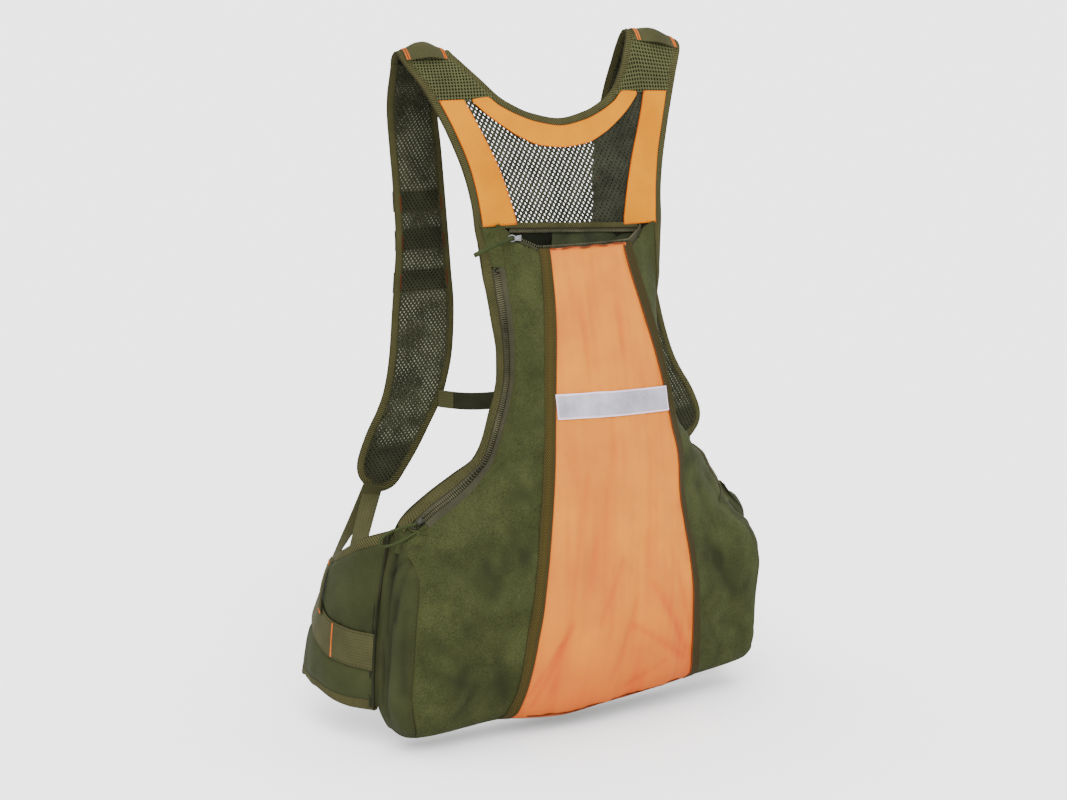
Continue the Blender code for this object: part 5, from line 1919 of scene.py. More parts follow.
@dataclass
class Yoke:
    """The open net of the yoke, the strip at its base and the orange bands sewn on it."""

    layer: float = 2.5
    band: float = 1.2
    collar: float = 103.0
    left_low_z: float = 489.5
    base: Stitching = threaded(THREAD)
    stitches: Stitching = threaded(ORANGE_THREAD)

    def net(self) -> None:
        """The net, reaching in under the bindings round it."""

        def inside(x: Array, s: Array) -> Array:
            """Whether holes belong to the net."""
            z = HARNESS.at(s)[:, 1]
            neck = np.interp(np.abs(x), [row[1] for row in NECK_EDGE], [row[0] for row in NECK_EDGE])
            within = (np.abs(x) < SIDE.at(z)[0] - 4.0) & (z < neck - 4.0) & (z < PAD_START_Z + 4.0)
            return within & (z > base_line(x) + 1.0)

        low = float(harness_distance(476.0))
        high = float(harness_distance(PAD_START_Z + 4.0))
        piece = YOKE_NET.spread("yoke_mesh", harness, inside, (-160.0, 160.0, low, high))
        dress(piece, NET, "mesh", "yoke_mesh")

    def bands(self) -> None:
        """The strip at the base, the two side bands and the neck band."""

        def place(distance: Array, across: Array, lift: Array) -> Array:
            """Places beside the line."""
            x = distance - 112.0
            return harness(x, harness_distance(base_line(x) + across), lift)

        piece = strip("yoke_base_strip", place, (0.0, 196.0), oval(6.0, 1.6, 0.0, 1.6, 0.4, 12), 3.0)
        dress(piece, BINDING, "binding", "yoke_base_strip")
        for across in (1.2, 4.8):
            self.base.line(place, (4.0, 192.0), across, 2.4, 3.4, 0.6)
        for side, word in SIDES:

            def band(u: Array, v: Array, side: int = side) -> Array:
                """Places on the sheet."""
                low = self.left_low_z if side == LEFT else BASE_Z
                z = low + (615.5 - low) * v
                inner, outer = ORANGE_SIDE.at(z)
                across = outward(u, side)
                x = side * (inner + (outer + 2.0 - inner) * across)
                return harness(x, harness_distance(z), self.layer)

            piece = cloth(f"orange_band_{word}", band, (14, 46), self.band, self.ripple)
            dress(piece, ORANGE_BAND, "orange_band", f"orange_band_{word}")

        def neck(u: Array, v: Array) -> Array:
            """Places on the sheet."""
            x = (2 * u - 1) * self.collar
            top, bottom = ORANGE_NECK.at(np.abs(x))
            top = top + 3.5 * (1.0 - (np.abs(x) / self.collar) ** 4)
            return harness(x, harness_distance(bottom + (top - bottom) * v), self.layer + 0.2)

        piece = cloth("orange_band_neck", neck, (90, 8), self.band, self.ripple)
        dress(piece, ORANGE_BAND, "orange_band", "orange_band_neck")

    def ripple(self, points: Array, rim: Array, long: Array) -> Array:
        """A slight unevenness of the bands."""
        return 0.3 * ruffle(points[:, 0], points[:, 2], 40.0, 51) * capped(rim / 4.0)

    def build(self) -> None:
        """Builds the yoke."""
        self.net()
        self.bands()
        for side, _ in SIDES:
            heights = np.linspace(491.0, 612.0, 12)
            inner = ORANGE_SIDE.at(heights)[0]
            route = Route([(side * x, harness_distance(z)) for x, z in zip(inner, heights)])
            track = harness_track(route, side == RIGHT)
            self.stitches.line(track, (1.0, route.length), -1.6, self.layer + 0.1, 3.4, 0.6)
        for start, end, low in ((-106.0, -67.0, 491.0), (67.0, 106.0, 483.0)):
            hem = harness_track(Route([(start, harness_distance(low)), (end, harness_distance(low))]))
            self.stitches.line(hem, (0.0, end - start), 0.0, self.layer + 0.3, 3.0, 0.8)
        self.stitches.sew("band_stitches", "orange_band")
        self.base.sew("base_strip_stitches", "binding")


@dataclass
class Shoulders:
    """The spacer pads, the net straps with their bindings, cross bands, loops and bartacks."""

    low_front_z: float = 655.0
    binding: float = 3.4
    bands: tuple[float, ...] = (510.0, 470.0, 428.0)
    patch_z: float = 252.0
    patch_height: float = 20.0
    band_height: float = 21.0
    loop_length: float = 24.0
    tacks: Stitching = threaded(ORANGE_THREAD)
    dull_tacks: Stitching = threaded(RED_THREAD)
    stitches: Stitching = threaded(DARK_THREAD)

    def edges(self, s: Array) -> tuple[Array, Array]:
        """The inner and outer edges of a shoulder at distances along the harness.

        Args:
            s: Distances along the harness.

        Returns:
            How far out the inner and the outer edge lie.
        """
        z = HARNESS.at(s)[..., 1]
        inner, outer = STRAP.at(z)
        neck = np.interp(z, [row[0] for row in NECK_EDGE], [row[1] for row in NECK_EDGE])
        return np.where(s > SEAT, inner, neck), np.where(s > SEAT, outer, SIDE.at(z)[0])

    def pad(self, side: int, word: str) -> None:
        """The spacer mesh over a shoulder: a dark core under an olive net with small holes.

        Args:
            side: LEFT or RIGHT.
            word: The side's word in names.
        """
        start = float(harness_distance(PAD_START_Z))
        end = float(harness_distance(self.low_front_z, True))

        def place(u: Array, v: Array) -> Array:
            """Places on the sheet."""
            s = start + (end - start) * v
            inner, outer = self.edges(s)
            across = outward(u, side)
            return harness(side * (inner + 5.0 + (outer - inner - 9.0) * across), s)

        def swell(points: Array, rim: Array, long: Array) -> Array:
            """How far out the cloth stands."""
            return 0.8 * capped(rim / 8.0) - 0.6

        piece = cloth(f"shoulder_pad_{word}", place, (24, 40), 2.2, swell, True)
        dress(piece, SPACER_CORE, "spacer", f"shoulder_pad_{word}")

        def inside(x: Array, s: Array) -> Array:
            """Whether holes belong to the net."""
            inner, outer = self.edges(s)
            return (side * x > inner + 8.5) & (side * x < outer - 8.0)

        def above(x: Array, s: Array) -> Array:
            """Places for flat coordinates."""
            return harness(x, s, 1.7)

        box = (*sorted((side * 60.0, side * 180.0)), start, end)
        dress(SPACER_NET.spread(f"shoulder_mesh_{word}", above, inside, box), SPACER, "spacer")

    def strap(self, side: int, word: str) -> None:
        """A front strap: two layers of dark net, a ribbed binding and three cross bands.

        Args:
            side: LEFT or RIGHT.
            word: The side's word in names.
        """
        heights = [row[0] for row in reversed(STRAP_ROWS)]
        s = np.maximum(harness_distance(np.array(heights), True), SEAT + 2.8)
        inner, outer = STRAP.at(np.array(heights))
        line = list(zip(side * outer, s)) + list(reversed(list(zip(side * inner, s))))
        rim = Route(line)
        place = harness_track(rim, side == RIGHT)
        section = oval(STRAP_BINDING_WIDTH, self.binding, 0.0, 0.0, 0.6, 16)
        piece = strip(f"strap_binding_{word}", place, (0.0, rim.length), section)
        dress(piece, BINDING, "binding", f"strap_binding_{word}")
        self.stitches.line(place, (3.0, rim.length - 3.0), STRAP_BINDING_WIDTH - 1.9, -1.6)
        self.stitches.line(place, (3.0, rim.length - 3.0), STRAP_BINDING_WIDTH - 1.9, 1.6)
        start = float(harness_distance(self.low_front_z, True)) + 2.0
        end = float(harness_distance(226.0, True))

        def inside(x: Array, s: Array) -> Array:
            """Whether holes belong to the net."""
            z = HARNESS.at(s)[:, 1]
            near, far = STRAP.at(z)
            slant = np.hypot(1.0, (STRAP.at(z + 3)[1] - STRAP.at(z - 3)[1]) / 6.0)
            return (side * x > near + 5.0 * slant) & (side * x < far - 4.0 * slant)

        box = (*sorted((side * 88.0, side * 225.0)), start, end)
        for face, lift, net in (("outer", -1.1, STRAP_NET), ("inner", 1.5, STRAP_BACK_NET)):

            def layer(x: Array, s: Array, lift: float = lift) -> Array:
                """Places for flat coordinates."""
                return harness(x, s, lift)

            piece = net.spread(f"strap_net_{word}_{face}", layer, inside, box)
            dress(piece, DARK_NET, "mesh", *([f"strap_mesh_{word}"] if face == "outer" else []))
        self.backing(side, word)
        for number, z in enumerate(self.bands, 1):

            def band(u: Array, v: Array, z: float = z) -> Array:
                """Places on the sheet."""
                height = z + (0.5 - v) * self.band_height
                near, far = STRAP.at(height)
                across = outward(u, side)
                lift = 3.8 + 1.5 * np.sin(np.pi * u)
                x = side * (near + 1.0 + (far - near - 2.0) * across)
                return harness(x, harness_distance(height, True), lift)

            piece = cloth(f"cross_band_{word}_{number}", band, (20, 10), 1.6)
            dress(piece, DARK_WEBBING, "webbing", f"cross_band_{word}_{number}")
            for edge in (0.0, 1.0):
                self.tack_edges(place, rim, side, z, edge)

    def backing(self, side: int, word: str) -> None:
        """The paler layer behind a strap's net, with painted shade where the cross bands lie on it and
        towards its lower end.

        Args:
            side: LEFT or RIGHT.
            word: The side's word in names.
        """

        def place(u: Array, v: Array) -> Array:
            """Places on the sheet."""
            height = self.low_front_z - 4.0 - (self.low_front_z - 229.0) * v
            near, far = STRAP.at(height)
            across = outward(u, side)
            reach = (far - near) * (1 - 0.5 * capped((238.0 - height) / 9.0) ** 2)
            middle = (near + far) / 2
            x = side * (middle + reach * (0.1 + 0.8 * across - 0.5))
            return harness(x, harness_distance(height, True), 0.5)

        def shade(points: Array, rim: Array) -> Array:
            """How far the painted shade shows."""
            # painted shade: full under each cross band, and rising below 268 mm towards the strap's lower end
            bands = sum(np.abs(points[:, 2] - z) < 11.0 for z in self.bands)
            return np.maximum(capped(bands), np.clip((268.0 - points[:, 2]) / 6.0, 0.0, 0.92))

        dress(cloth(f"strap_backing_{word}", place, (16, 110), 0.7, tint=shade), PALE_NET, "mesh")

    def patch(self, side: int, word: str) -> None:
        """The small patch that holds the adjusters behind a strap's lower end.

        Args:
            side: LEFT or RIGHT.
            word: The side's word in names.
        """

        def place(u: Array, v: Array) -> Array:
            """Places on the sheet."""
            height = self.patch_z + (0.5 - v) * self.patch_height
            near = STRAP.at(height)[0]
            across = outward(u, side)
            return harness(side * (near + 12.0 + 18.0 * across), harness_distance(height, True), 3.2)

        dress(cloth(f"strap_patch_{word}", place, (8, 8), 1.2), DARK_WEBBING, "webbing")

    def tack_edges(self, place: Place, rim: Route, side: int, z: float, edge: float) -> None:
        """Bartacks through a strap's binding at the end of a cross band.

        Args:
            place: Places along the strap's binding.
            rim: The binding's line.
            side: LEFT or RIGHT.
            z: The cross band's height.
            edge: 0 for its inner end, 1 for its outer.
        """
        s = float(harness_distance(z, True))
        near, far = (float(value) for value in STRAP.at(z))
        target = np.array((side * (far if edge else near), s))
        middle = float(rim.lengths[np.argmin(np.linalg.norm(rim.points - target, axis=1))])
        for lift in (-1.75, 1.75):
            self.dull_tacks.tack(place, (middle - 7.5, 6.8), (middle + 7.5, 6.8), lift, 1.8)

    def loop(self, side: int, word: str) -> None:
        """The webbing loop that stands up on a shoulder, held by bartacks at both ends.

        Args:
            side: LEFT or RIGHT.
            word: The side's word in names.
        """

        def base(u: Array, v: Array) -> tuple[Array, Array, Array]:
            """Places across, distances along and lifts for shares."""
            s = SEAT - 14.0 + self.loop_length * v
            inner, outer = self.edges(SEAT - 2.0 + 4.0 * v)
            across = outward(u, side)
            x = side * (inner + 7.0 + (outer - inner - 13.0) * across)
            high = 7.5 if side == LEFT else 5.0
            return x, s, 2.8 + high * np.sin(np.pi * capped(u)) ** 1.6

        def place(u: Array, v: Array) -> Array:
            """Places on the sheet."""
            return harness(*base(u, v))

        def track(distance: Array, across: Array, lift: Array) -> Array:
            """Places beside the line."""
            x, s, rise = base(np.asarray(across), distance / self.loop_length)
            return harness(x, s, rise + lift)

        piece = cloth(f"shoulder_loop_{word}", place, (40, 16), 1.6)
        dress(piece, WEBBING, "webbing", f"shoulder_loop_{word}")
        for across in (0.035, 0.085, 0.915, 0.965):
            self.tacks.tack(track, (1.0, across), (self.loop_length - 1.0, across), 0.2, 2.0)

    def build(self) -> None:
        """Builds both shoulders."""
        for side, word in SIDES:
            self.pad(side, word)
            self.strap(side, word)
            self.patch(side, word)
            self.loop(side, word)
        self.tacks.sew("loop_bartacks", "orange_band")
        self.dull_tacks.sew("strap_bartacks", "orange_band")
        self.stitches.sew("strap_stitches", "binding")


@dataclass
class Wings:
    """The padded hip wings with their bindings, piping, webbing bands and bartacks."""

    thickness: float = 7.0
    binding: float = 10.0
    swell: float = 5.0
    tab_y: float = 80.0
    tab_length: float = 54.0
    frames: int = 20
    most: float = 3.5
    tacks: Stitching = threaded(ORANGE_THREAD)
    stitches: Stitching = threaded(DARK_THREAD)

    def zones(self, points: Array) -> Array:
        """How far a place is from the seams that hold the padding down, from 0 to 1.

        Args:
            points: Places in millimetres.

        Returns:
            How free each is.
        """
        t = (points[:, 1] - WING_ROWS[0][0]) / WING_LENGTH
        band = WINGS.at(points[:, 1])[4]
        away = np.abs(points[:, 2] - band) - BELT_WIDTH / 2
        return capped(away / 9.0) * capped((1.0 - t) / 0.08)

    def free(self, points: Array, rim: Array) -> Array:
        """How free the cover is to swell, none at its seams and under the binding."""
        return self.zones(points) * capped((rim - 5.0) / 8.0)

    def pad(self, side: int, word: str) -> None:
        """The padding in its cover, swollen by pressure between the seams that hold it.

        Args:
            side: LEFT or RIGHT.
            word: The side's word in names.
        """

        def place(u: Array, v: Array) -> Array:
            """Places on the sheet."""
            t = -0.035 + 1.01 * outward(u, side)
            low, high = 0.03 + wing_round(t, LOW_ROUND), 0.97 - wing_round(t, HIGH_ROUND)
            inward = -3.0 * capped((0.015 - t) / 0.05)
            return wing_place(side, t, low + (high - low) * v, inward)

        def relief(points: Array, rim: Array, long: Array) -> Array:
            """How far out the cloth stands."""
            free = self.free(points, rim)
            soft = 0.5 * ruffle(points[:, 1], points[:, 2], 42.0, 61)
            # at the held seams the cover sinks 0.6 in and so takes the twill's painted crease shade
            return self.swell * 0.75 * np.sqrt(free) + soft * free - 0.6

        piece = cloth(f"hip_wing_{word}", place, (44, 40), self.thickness, relief)
        self.inflate(piece)
        dress(piece, TWILL, "twill", f"hip_wing_{word}")

    def inflate(self, piece: Piece) -> None:
        """Runs a short cloth simulation under pressure, held at the seams, and keeps its result.

        Args:
            piece: The wing's padding.
        """
        rest = read_points(piece)
        rim = np.empty(len(rest), np.float32)
        piece.data.attributes["rim"].data.foreach_get("value", rim)
        spots = rest / MM + (0.0, SEAT_Y, SEAT_Z)
        free = self.free(spots, rim)
        group = piece.vertex_groups.new(name="held")
        for index in np.nonzero(free < 0.35)[0].tolist():
            group.add([index], 1.0, "REPLACE")
        modifier = piece.modifiers.new("swell", "CLOTH")
        settings = modifier.settings
        settings.vertex_group_mass = "held"
        settings.use_pressure = True
        settings.uniform_pressure_force = 4.0
        settings.effector_weights.gravity = 0.0
        settings.mass = 0.2
        settings.bending_stiffness = 0.6
        modifier.collision_settings.use_collision = False
        scene = bpy.context.scene
        for number in range(1, self.frames + 1):
            scene.frame_set(number)
        shown = piece.evaluated_get(bpy.context.evaluated_depsgraph_get())
        moved = np.empty(len(rest) * 3, np.float32)
        shown.data.vertices.foreach_get("co", moved)
        step = moved.reshape(-1, 3) - rest
        far = np.linalg.norm(step, axis=1, keepdims=True)
        most = self.most * MM
        piece.modifiers.remove(modifier)
        scene.frame_set(1)
        move_points(piece, rest + step * np.minimum(1.0, most / np.maximum(far, 1e-9)))
        LOG.info("%s swelled by up to %.1f mm", piece.name, float(far.max()) / MM)

    def trim(self, side: int, word: str) -> None:
        """The binding round a wing's edge, the piping at its seam and its webbing.

        Args:
            side: LEFT or RIGHT.
            word: The side's word in names.
        """
        steps = (0.0, 0.4, 0.8, 0.9, 1.0)
        lower = [(t * WING_LENGTH, float(wing_round(t, LOW_ROUND)) * WING_HEIGHT) for t in steps]
        upper = [
            (t * WING_LENGTH, (1.0 - float(wing_round(t, HIGH_ROUND))) * WING_HEIGHT) for t in reversed(steps)
        ]
        run = Route([*lower, (WING_LENGTH, WING_HEIGHT / 2), *upper])

        def edge(distance: Array, across: Array, lift: Array) -> Array:
            """Places beside the line."""
            spot = inset_spot(run, distance, -np.asarray(across, float))
            return wing_place(side, spot[:, 0] / WING_LENGTH, spot[:, 1] / WING_HEIGHT, lift)

        section = oval(self.binding, self.thickness + 1.0, 0.0, -3.4, 0.6, 16)
        piece = strip(f"wing_binding_{word}", edge, (0.0, run.length), section)
        dress(piece, BINDING, "binding", f"wing_binding_{word}")
        self.stitches.line(edge, (3.0, run.length - 3.0), self.binding - 1.6, 0.6)

        for number, t in enumerate((-0.004, 0.021), 1):

            def piping(distance: Array, across: Array, lift: Array, t: float = t) -> Array:
                """Places beside the line."""
                return wing_place(side, t + np.asarray(across) / WING_LENGTH, distance / WING_HEIGHT, lift)

            section = oval(3.0, 3.0, -1.5, 0.4, 1.0, 10)
            dress(strip(f"wing_piping_{word}_{number}", piping, (3.0, 127.0), section), DARK_TWILL, "twill")

        def band(distance: Array, across: Array, lift: Array) -> Array:
            """Places beside the line."""
            t = distance / WING_LENGTH
            z = WINGS.at(WING_ROWS[0][0] + distance)[4] + across
            high = 1.4 * capped((t - 0.8) / 0.2)
            return wing_place(side, t, wing_height(t, z), 1.6 + high + lift)

        section = oval(BELT_WIDTH, 1.8, -BELT_WIDTH / 2, 0.0, 0.3, 20)
        piece = strip(f"wing_webbing_{word}", band, (0.0, WING_LENGTH * 0.985), section)
        dress(piece, WEBBING, "webbing", f"wing_webbing_{word}")
        for across in (-17.0, 17.0):
            self.stitches.line(band, (2.0, 140.0), across, 1.0, 3.8, 0.7)
        self.tacks.tack(band, (50.0, -17.0), (50.0, 17.0), 1.1, 2.4)

        def tab(distance: Array, across: Array, lift: Array) -> Array:
            """Places beside the line."""
            z = WINGS.at(WING_ROWS[0][0] + self.tab_y + np.asarray(across))[4] + 13.0 + distance
            t = (self.tab_y + np.asarray(across) + distance * 0.08) / WING_LENGTH
            rise = np.sqrt(np.sin(np.pi * capped(distance / self.tab_length)))
            return wing_place(side, t, wing_height(t, z), 2.6 + 4.2 * rise + lift)

        piece = strip(f"wing_tab_{word}", tab, (0.0, self.tab_length), oval(9.0, 1.6, -4.5, 0.0, 0.35, 12))
        dress(piece, WEBBING, "webbing")
        for distance in (2.5, self.tab_length - 3.0):
            self.tacks.tack(tab, (distance, -4.0), (distance, 4.0), 1.0, 2.6)

    def build(self) -> None:
        """Builds both wings."""
        for side, word in SIDES:
            self.pad(side, word)
            self.trim(side, word)
        self.tacks.sew("wing_bartacks", "orange_band")
        self.stitches.sew("wing_stitches", "webbing")


@dataclass
class Straps:
    """The adjusters, the side straps and the closed hip belt with its clasp."""

    sag: float = 2.5
    end_reach: Pair = (0.76, 1.0)

    def ribbon(
        self, name: str, start: Sequence, end: Sequence, side: int, sag: float = 0.0,
        finish: Finish = WEBBING, reach: Pair = (0.0, 1.0), nodes: Sequence[str] = (),
    ) -> None:
        """A ribbon of webbing between two ends, each given as its two corners on the right.

        Args:
            name: The piece's name.
            start: The corners of its first end.
            end: The corners of its last end.
            side: The side of the bag.
            sag: How far its middle hangs.
            finish: Its finish.
            reach: The share of the way at which it starts and ends.
            nodes: The solid that it stands for.
        """
        flip = np.array((side, 1.0, 1.0))
        (near_a, near_b), (far_a, far_b) = np.array(start) * flip, np.array(end) * flip
        width = (math.dist(near_a, near_b) + math.dist(far_a, far_b)) / 2
        length = math.dist((near_a + near_b) / 2, (far_a + far_b) / 2)

        def place(distance: Array, across: Array, lift: Array) -> Array:
            """Places beside the line."""
            v = (np.asarray(distance) / length)[..., None]
            a, b = near_a + (far_a - near_a) * v, near_b + (far_b - near_b) * v
            point = a + (b - a) * (np.asarray(across) / width)[..., None]
            out = unit(np.cross(b - a, far_a + far_b - near_a - near_b)) * side
            point = point + out * np.asarray(lift)[..., None]
            point[..., 2] -= sag * np.sin(np.pi * v[..., 0])
            return point

        lift = 0.0 if nodes else 0.7
        ends = (length * reach[0], length * reach[1])
        piece = strip(name, place, ends, oval(width, 1.7 + 2 * lift, 0.0, 0.0, 0.3, 20), 4.0)
        dress(piece, finish, "webbing", *nodes)

    def belt(self, side: int, word: str) -> None:
        """One half of the hip belt, from its wing to the clasp.

        Args:
            side: LEFT or RIGHT.
            word: The side's word in names.
        """
        route = []
        for x, y, z in BELT_ROUTE:
            share = (x - BELT_ROUTE[-1][0]) / (BELT_ROUTE[0][0] - BELT_ROUTE[-1][0])
            drawn = float(seam_draw(z)) * share if side == RIGHT else 0.0
            route.append((side * (x - drawn), y, z))
        run = Route(route)
        section = oval(BELT_WIDTH, 1.8, -BELT_WIDTH / 2, 0.0, 0.3, 20)
        piece = strip(f"hip_belt_{word}", free_track(run), (0.0, run.length), section, 4.0)
        dress(piece, WEBBING, "webbing", f"hip_belt_{word}")

    def clasp(self) -> None:
        """The closed clasp: a bevelled block with a raised middle and a slot at each end."""
        deselect()
        bpy.ops.mesh.primitive_cube_add(size=1.0, location=tuple(to_part((0.0, 227.0, 103.0))))
        piece = bpy.context.object
        piece.name = piece.data.name = "belt_buckle"
        mode("EDIT")
        bpy.ops.transform.resize(value=(0.064, 0.009, 0.048))
        mode("OBJECT")
        for face in piece.data.polygons:
            face.select = abs(face.normal.y) > 0.5
        mode("EDIT")
        bpy.ops.mesh.inset(thickness=0.008, use_individual=True)
        bpy.ops.transform.resize(value=(1.0, 1.35, 1.0))
        bpy.ops.mesh.inset(thickness=0.005, use_individual=True)
        bpy.ops.transform.resize(value=(1.0, 0.8, 1.0))
        bpy.ops.mesh.select_all(action="SELECT")
        bpy.ops.mesh.bevel(offset=0.0012, segments=3)
        mode("OBJECT")
        bpy.ops.object.transform_apply(location=True, rotation=True, scale=True)
        dress(piece, BUCKLE, "buckle", "belt_buckle")

    def build(self) -> None:
        """Builds the straps."""
        for side, word in SIDES:
            for place in ("outer", "inner"):
                name = f"adjuster_{place}_{word}"
                self.ribbon(name, *ADJUSTERS[place, side], side, nodes=[name])
            name = f"side_strap_{word}"
            self.ribbon(name, *SIDE_STRAP, side, self.sag, DARK_TWILL, nodes=[name])
            self.ribbon(f"side_strap_end_{word}", *SIDE_STRAP, side, self.sag, reach=self.end_reach)
            self.belt(side, word)
        self.clasp()


@dataclass
class SideZip:
    """The zip up the bag's left side: two tapes, a coil, a slider, a cord loop and a tab."""

    low: float = 213.0
    high: float = 446.0

    def build(self) -> None:
        """Builds the zip."""
        outline = seam_outline(self.low, self.high)
        place = skin_track(outline, LEFT)
        first, middle, front = BINDING_WIDTH - 2.0, 14.4, 17.6
        for word, start, width, short in (("rear", first, 5.0, 0.0), ("front", front, 6.0, 7.0)):
            section = oval(width, 1.0, start, -0.4, 0.3, 12)
            piece = strip(f"side_zip_tape_{word}", place, (0.0, outline.length - short), section)
            dress(piece, ZIP_TAPE, "zip_tape", f"side_zip_tape_{word}")
        bed = strip("side_zip_bed", place, (0.0, outline.length), oval(6.4, 0.8, 12.0, -0.8, 0.3, 12))
        dress(bed, DARK_TWILL, "zip_tape")
        ends = (0.0, outline.length - 8.0)
        teeth("side_zip_teeth", place, ends, middle, 0.7, ["side_zip_teeth"], 1.6, 1.25)
        sewn = Stitching(THREAD)
        sewn.line(place, (2.0, outline.length - 8.0), front + 3.4, 0.2, 3.2, 0.6)
        above = seam_outline(self.high + 4.0, self.high + 43.0)
        over = skin_track(above, LEFT)
        width = 19.0
        piece = strip("side_zip_tab", over, (0.0, above.length), oval(width, 2.2, first - 2.0, -0.6, 0.3, 16))
        dress(piece, SUEDE, "suede", "side_zip_tab")
        for down in (above.length - 2.5, above.length - 12.0):

            def row(distance: Array, across_: Array, lift: Array, down: float = down) -> Array:
                """Places beside the line."""
                return over(np.full(np.shape(distance), down) + across_, first - 2.0 + distance, lift)

            sewn.line(row, (1.0, width - 1.0), 0.0, 0.6, 3.2, 0.6)
        sewn.sew("side_zip_stitches", "zip_tape")
        end = np.array([outline.length - 4.0])
        spot = place(end, np.array([middle]), np.array([2.6]))[0]
        ahead = place(end + 1.0, np.array([middle]), np.array([2.6]))[0] - spot
        up = place(end, np.array([middle]), np.array([3.6]))[0] - spot
        slider("side_zip_slider", DARK_STEEL, spot, ahead, up, "side_zip_slider")
        cord("side_zip_cord_pull", SIDE_PULL, 3.2, "side_zip_cord_pull")


@dataclass
class TopZip:
    """The open zip across the bag's top: tapes, teeth, slider, cord pull, the lining's fold and a dark sheet
    of painted shade inside the mouth.
    """

    left: float = -76.0
    right: float = 88.0
    slider_run: float = 77.5
    slider_z: float = 478.0
    edge_length: float = 92.0
    lining_reach: float = 104.0
    lining_low_z: float = 400.0
    creases: tuple[Crease, ...] = (
        Crease((38, 440), (62, 476), 6.0, 3.0), Crease((-20, 440), (-4, 478), 5.0, 1.6),
    )

    def build(self) -> None:
        """Builds the zip."""

        def rear(distance: Array, across: Array, lift: Array) -> Array:
            """Places beside the line."""
            x = self.left + np.asarray(distance, float)
            return harness(x, harness_distance(base_line(x) - 2.6 + across), lift)

        def front(distance: Array, across: Array, lift: Array) -> Array:
            """Places beside the line."""
            run = self.left + np.asarray(distance, float)
            side = np.where(run < 0, LEFT, RIGHT)
            return UNROLLED.place(np.abs(run), mouth_height(np.abs(run), side) + across, side, lift - 2.6)

        length = self.right - self.left
        for word, place, section in (
            ("rear", rear, oval(4.6, 1.0, 0.0, 0.9, 0.3, 12)),
            ("front", front, oval(10.0, 1.0, -9.0, -0.5, 0.3, 12)),
        ):
            piece = strip(f"top_zip_tape_{word}", place, (0.0, length), section, 3.0)
            dress(piece, ZIP_TAPE, "zip_tape", f"top_zip_tape_{word}")
        teeth("top_zip_teeth_rear", rear, (0.0, length), -0.7, 1.2, ["top_zip_teeth_rear"])
        teeth("top_zip_teeth_front", front, (0.0, length), 2.4, 0.0, ["top_zip_teeth_front"])

        def edge(distance: Array, across: Array, lift: Array) -> Array:
            """Places beside the line."""
            run = np.asarray(distance, float) - self.edge_length / 2
            wave = 0.7 * np.sin(run * 0.22)
            return UNROLLED.both(run, MOUTH_Z + across + wave, lift)

        piece = strip("mouth_edge", edge, (0.0, self.edge_length), oval(1.8, 2.6, -0.6, 0.6, 0.9, 10), 2.0)
        dress(piece, RED_EDGE, "orange")

        def fold(u: Array, v: Array) -> Array:
            """Places on the sheet."""
            bow = 5.0 * np.sin(np.pi * v) * np.sin(np.pi * u)
            x = -38.0 + 16.0 * v * (1 - u) + 116.0 * u
            return stack(x, -5.0 + 15.0 * v**1.5 - bow, 444.0 + (base_line(x) - 446.8) * v)

        def soft(points: Array, rim: Array, long: Array) -> Array:
            """How far out the cloth stands."""
            x, z = points[:, 0], points[:, 2]
            dip = sum(crease.press(x, z) for crease in self.creases)
            return (0.9 * ruffle(x, z, 36.0, 71) - dip) * capped(rim / 6.0)

        piece = cloth("mouth_inner_fold", fold, (60, 20), 1.0, soft)
        dress(piece, LINING, "lining", "mouth_inner_fold")

        # painted shade: a near black lining sheet down the back, for the shade deep inside the open mouth
        def deep(u: Array, v: Array) -> Array:
            """Places on the sheet."""
            x = self.lining_reach * 2 * u - self.lining_reach
            z = self.lining_low_z + (base_line(x) - self.lining_low_z) * v
            return stack(x, back_y(z) + 0.2, z)

        dress(cloth("mouth_lining_painted_shade", deep, (40, 12), 0.8), LINING_PAINTED_SHADE, "lining")
        at = np.array([self.slider_run])
        height = np.array([self.slider_z])
        spot = UNROLLED.place(at, height, LEFT, 3.0)[0]
        ahead = UNROLLED.place(at + 1.0, height, LEFT, 3.0)[0] - spot
        up = UNROLLED.place(at, height, LEFT, 4.0)[0] - spot
        slider("top_zip_slider", STEEL, spot, ahead, up, "top_zip_slider")
        cord("top_zip_cord_pull", TOP_PULL, 5.0, "top_zip_cord_pull")


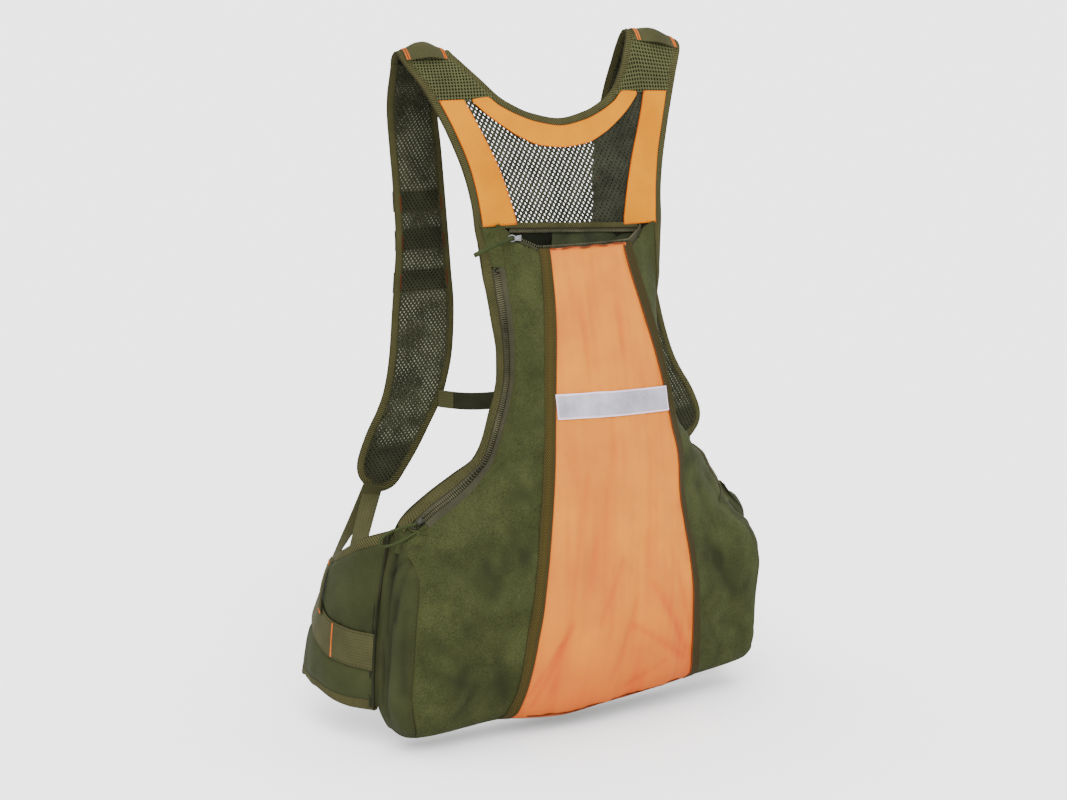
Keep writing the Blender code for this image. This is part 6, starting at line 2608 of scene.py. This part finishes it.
@dataclass
class Studio:
    """The camera, the pale floor and the soft light."""

    place: Triple = (-1.3987, -2.0512, 0.0854)
    aim: Triple = (0.5512, 0.8142, -0.1822)
    lens: float = 80.03
    floor_z: float = -0.697
    floor_shade: float = 0.86
    ambient: float = 2.4
    suns: tuple = (((-0.9, -1.6, 1.5), 4.4, 50.0), ((0.1, 0.3, 2.0), 2.0, 60.0))

    def camera(self) -> None:
        """The camera at the photograph's place."""
        deselect()
        turn = Vector(self.aim).to_track_quat("-Z", "Y").to_euler()
        bpy.ops.object.camera_add(location=self.place, rotation=turn)
        camera = bpy.context.object
        camera.data.lens = self.lens
        camera.data.sensor_width = 36.0
        camera.data.clip_end = 500.0
        bpy.context.scene.camera = camera

    def floor(self) -> None:
        """A wide floor just under the bag."""
        deselect()
        bpy.ops.mesh.primitive_plane_add(size=400.0, location=(0, 0, self.floor_z))
        floor = bpy.context.object
        floor.name = "studio_floor"
        graph = Graph("pale_floor")
        graph.shader.inputs["Base Color"].default_value = (*[self.floor_shade] * 3, 1.0)
        graph.shader.inputs["Roughness"].default_value = 1.0
        graph.shader.inputs["Specular IOR Level"].default_value = 0.0
        floor.data.materials.append(graph.material)

    def light(self) -> None:
        """An even sky and two broad suns from above, left and front."""
        world = bpy.data.worlds.new("studio_sky")
        world.use_nodes = True
        world.node_tree.nodes["Background"].inputs["Strength"].default_value = self.ambient
        world.node_tree.nodes["Background"].inputs["Color"].default_value = (1, 1, 1, 1)
        bpy.context.scene.world = world
        for number, (towards, power, width) in enumerate(self.suns, 1):
            deselect()
            turn = Vector(towards).to_track_quat("Z", "Y").to_euler()
            bpy.ops.object.light_add(type="SUN", rotation=turn, location=towards)
            lamp = bpy.context.object
            lamp.name = f"soft_sun_{number}"
            lamp.data.energy = power
            lamp.data.angle = math.radians(width)

    def build(self) -> None:
        """Builds the studio."""
        self.camera()
        self.floor()
        self.light()


def main() -> None:
    """Builds the rucksack's pieces in order."""
    logging.basicConfig(level=logging.INFO, format="%(name)s: %(message)s")
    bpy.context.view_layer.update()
    builders = (
        Studio(), SideZip(), TopZip(), FrontPanels(), Shell(), Bindings(), Yoke(), Shoulders(),
        Wings(), Straps(),
    )
    for builder in builders:
        builder.build()
        LOG.info("built %s", type(builder).__name__)


if __name__ == "__main__":
    main()
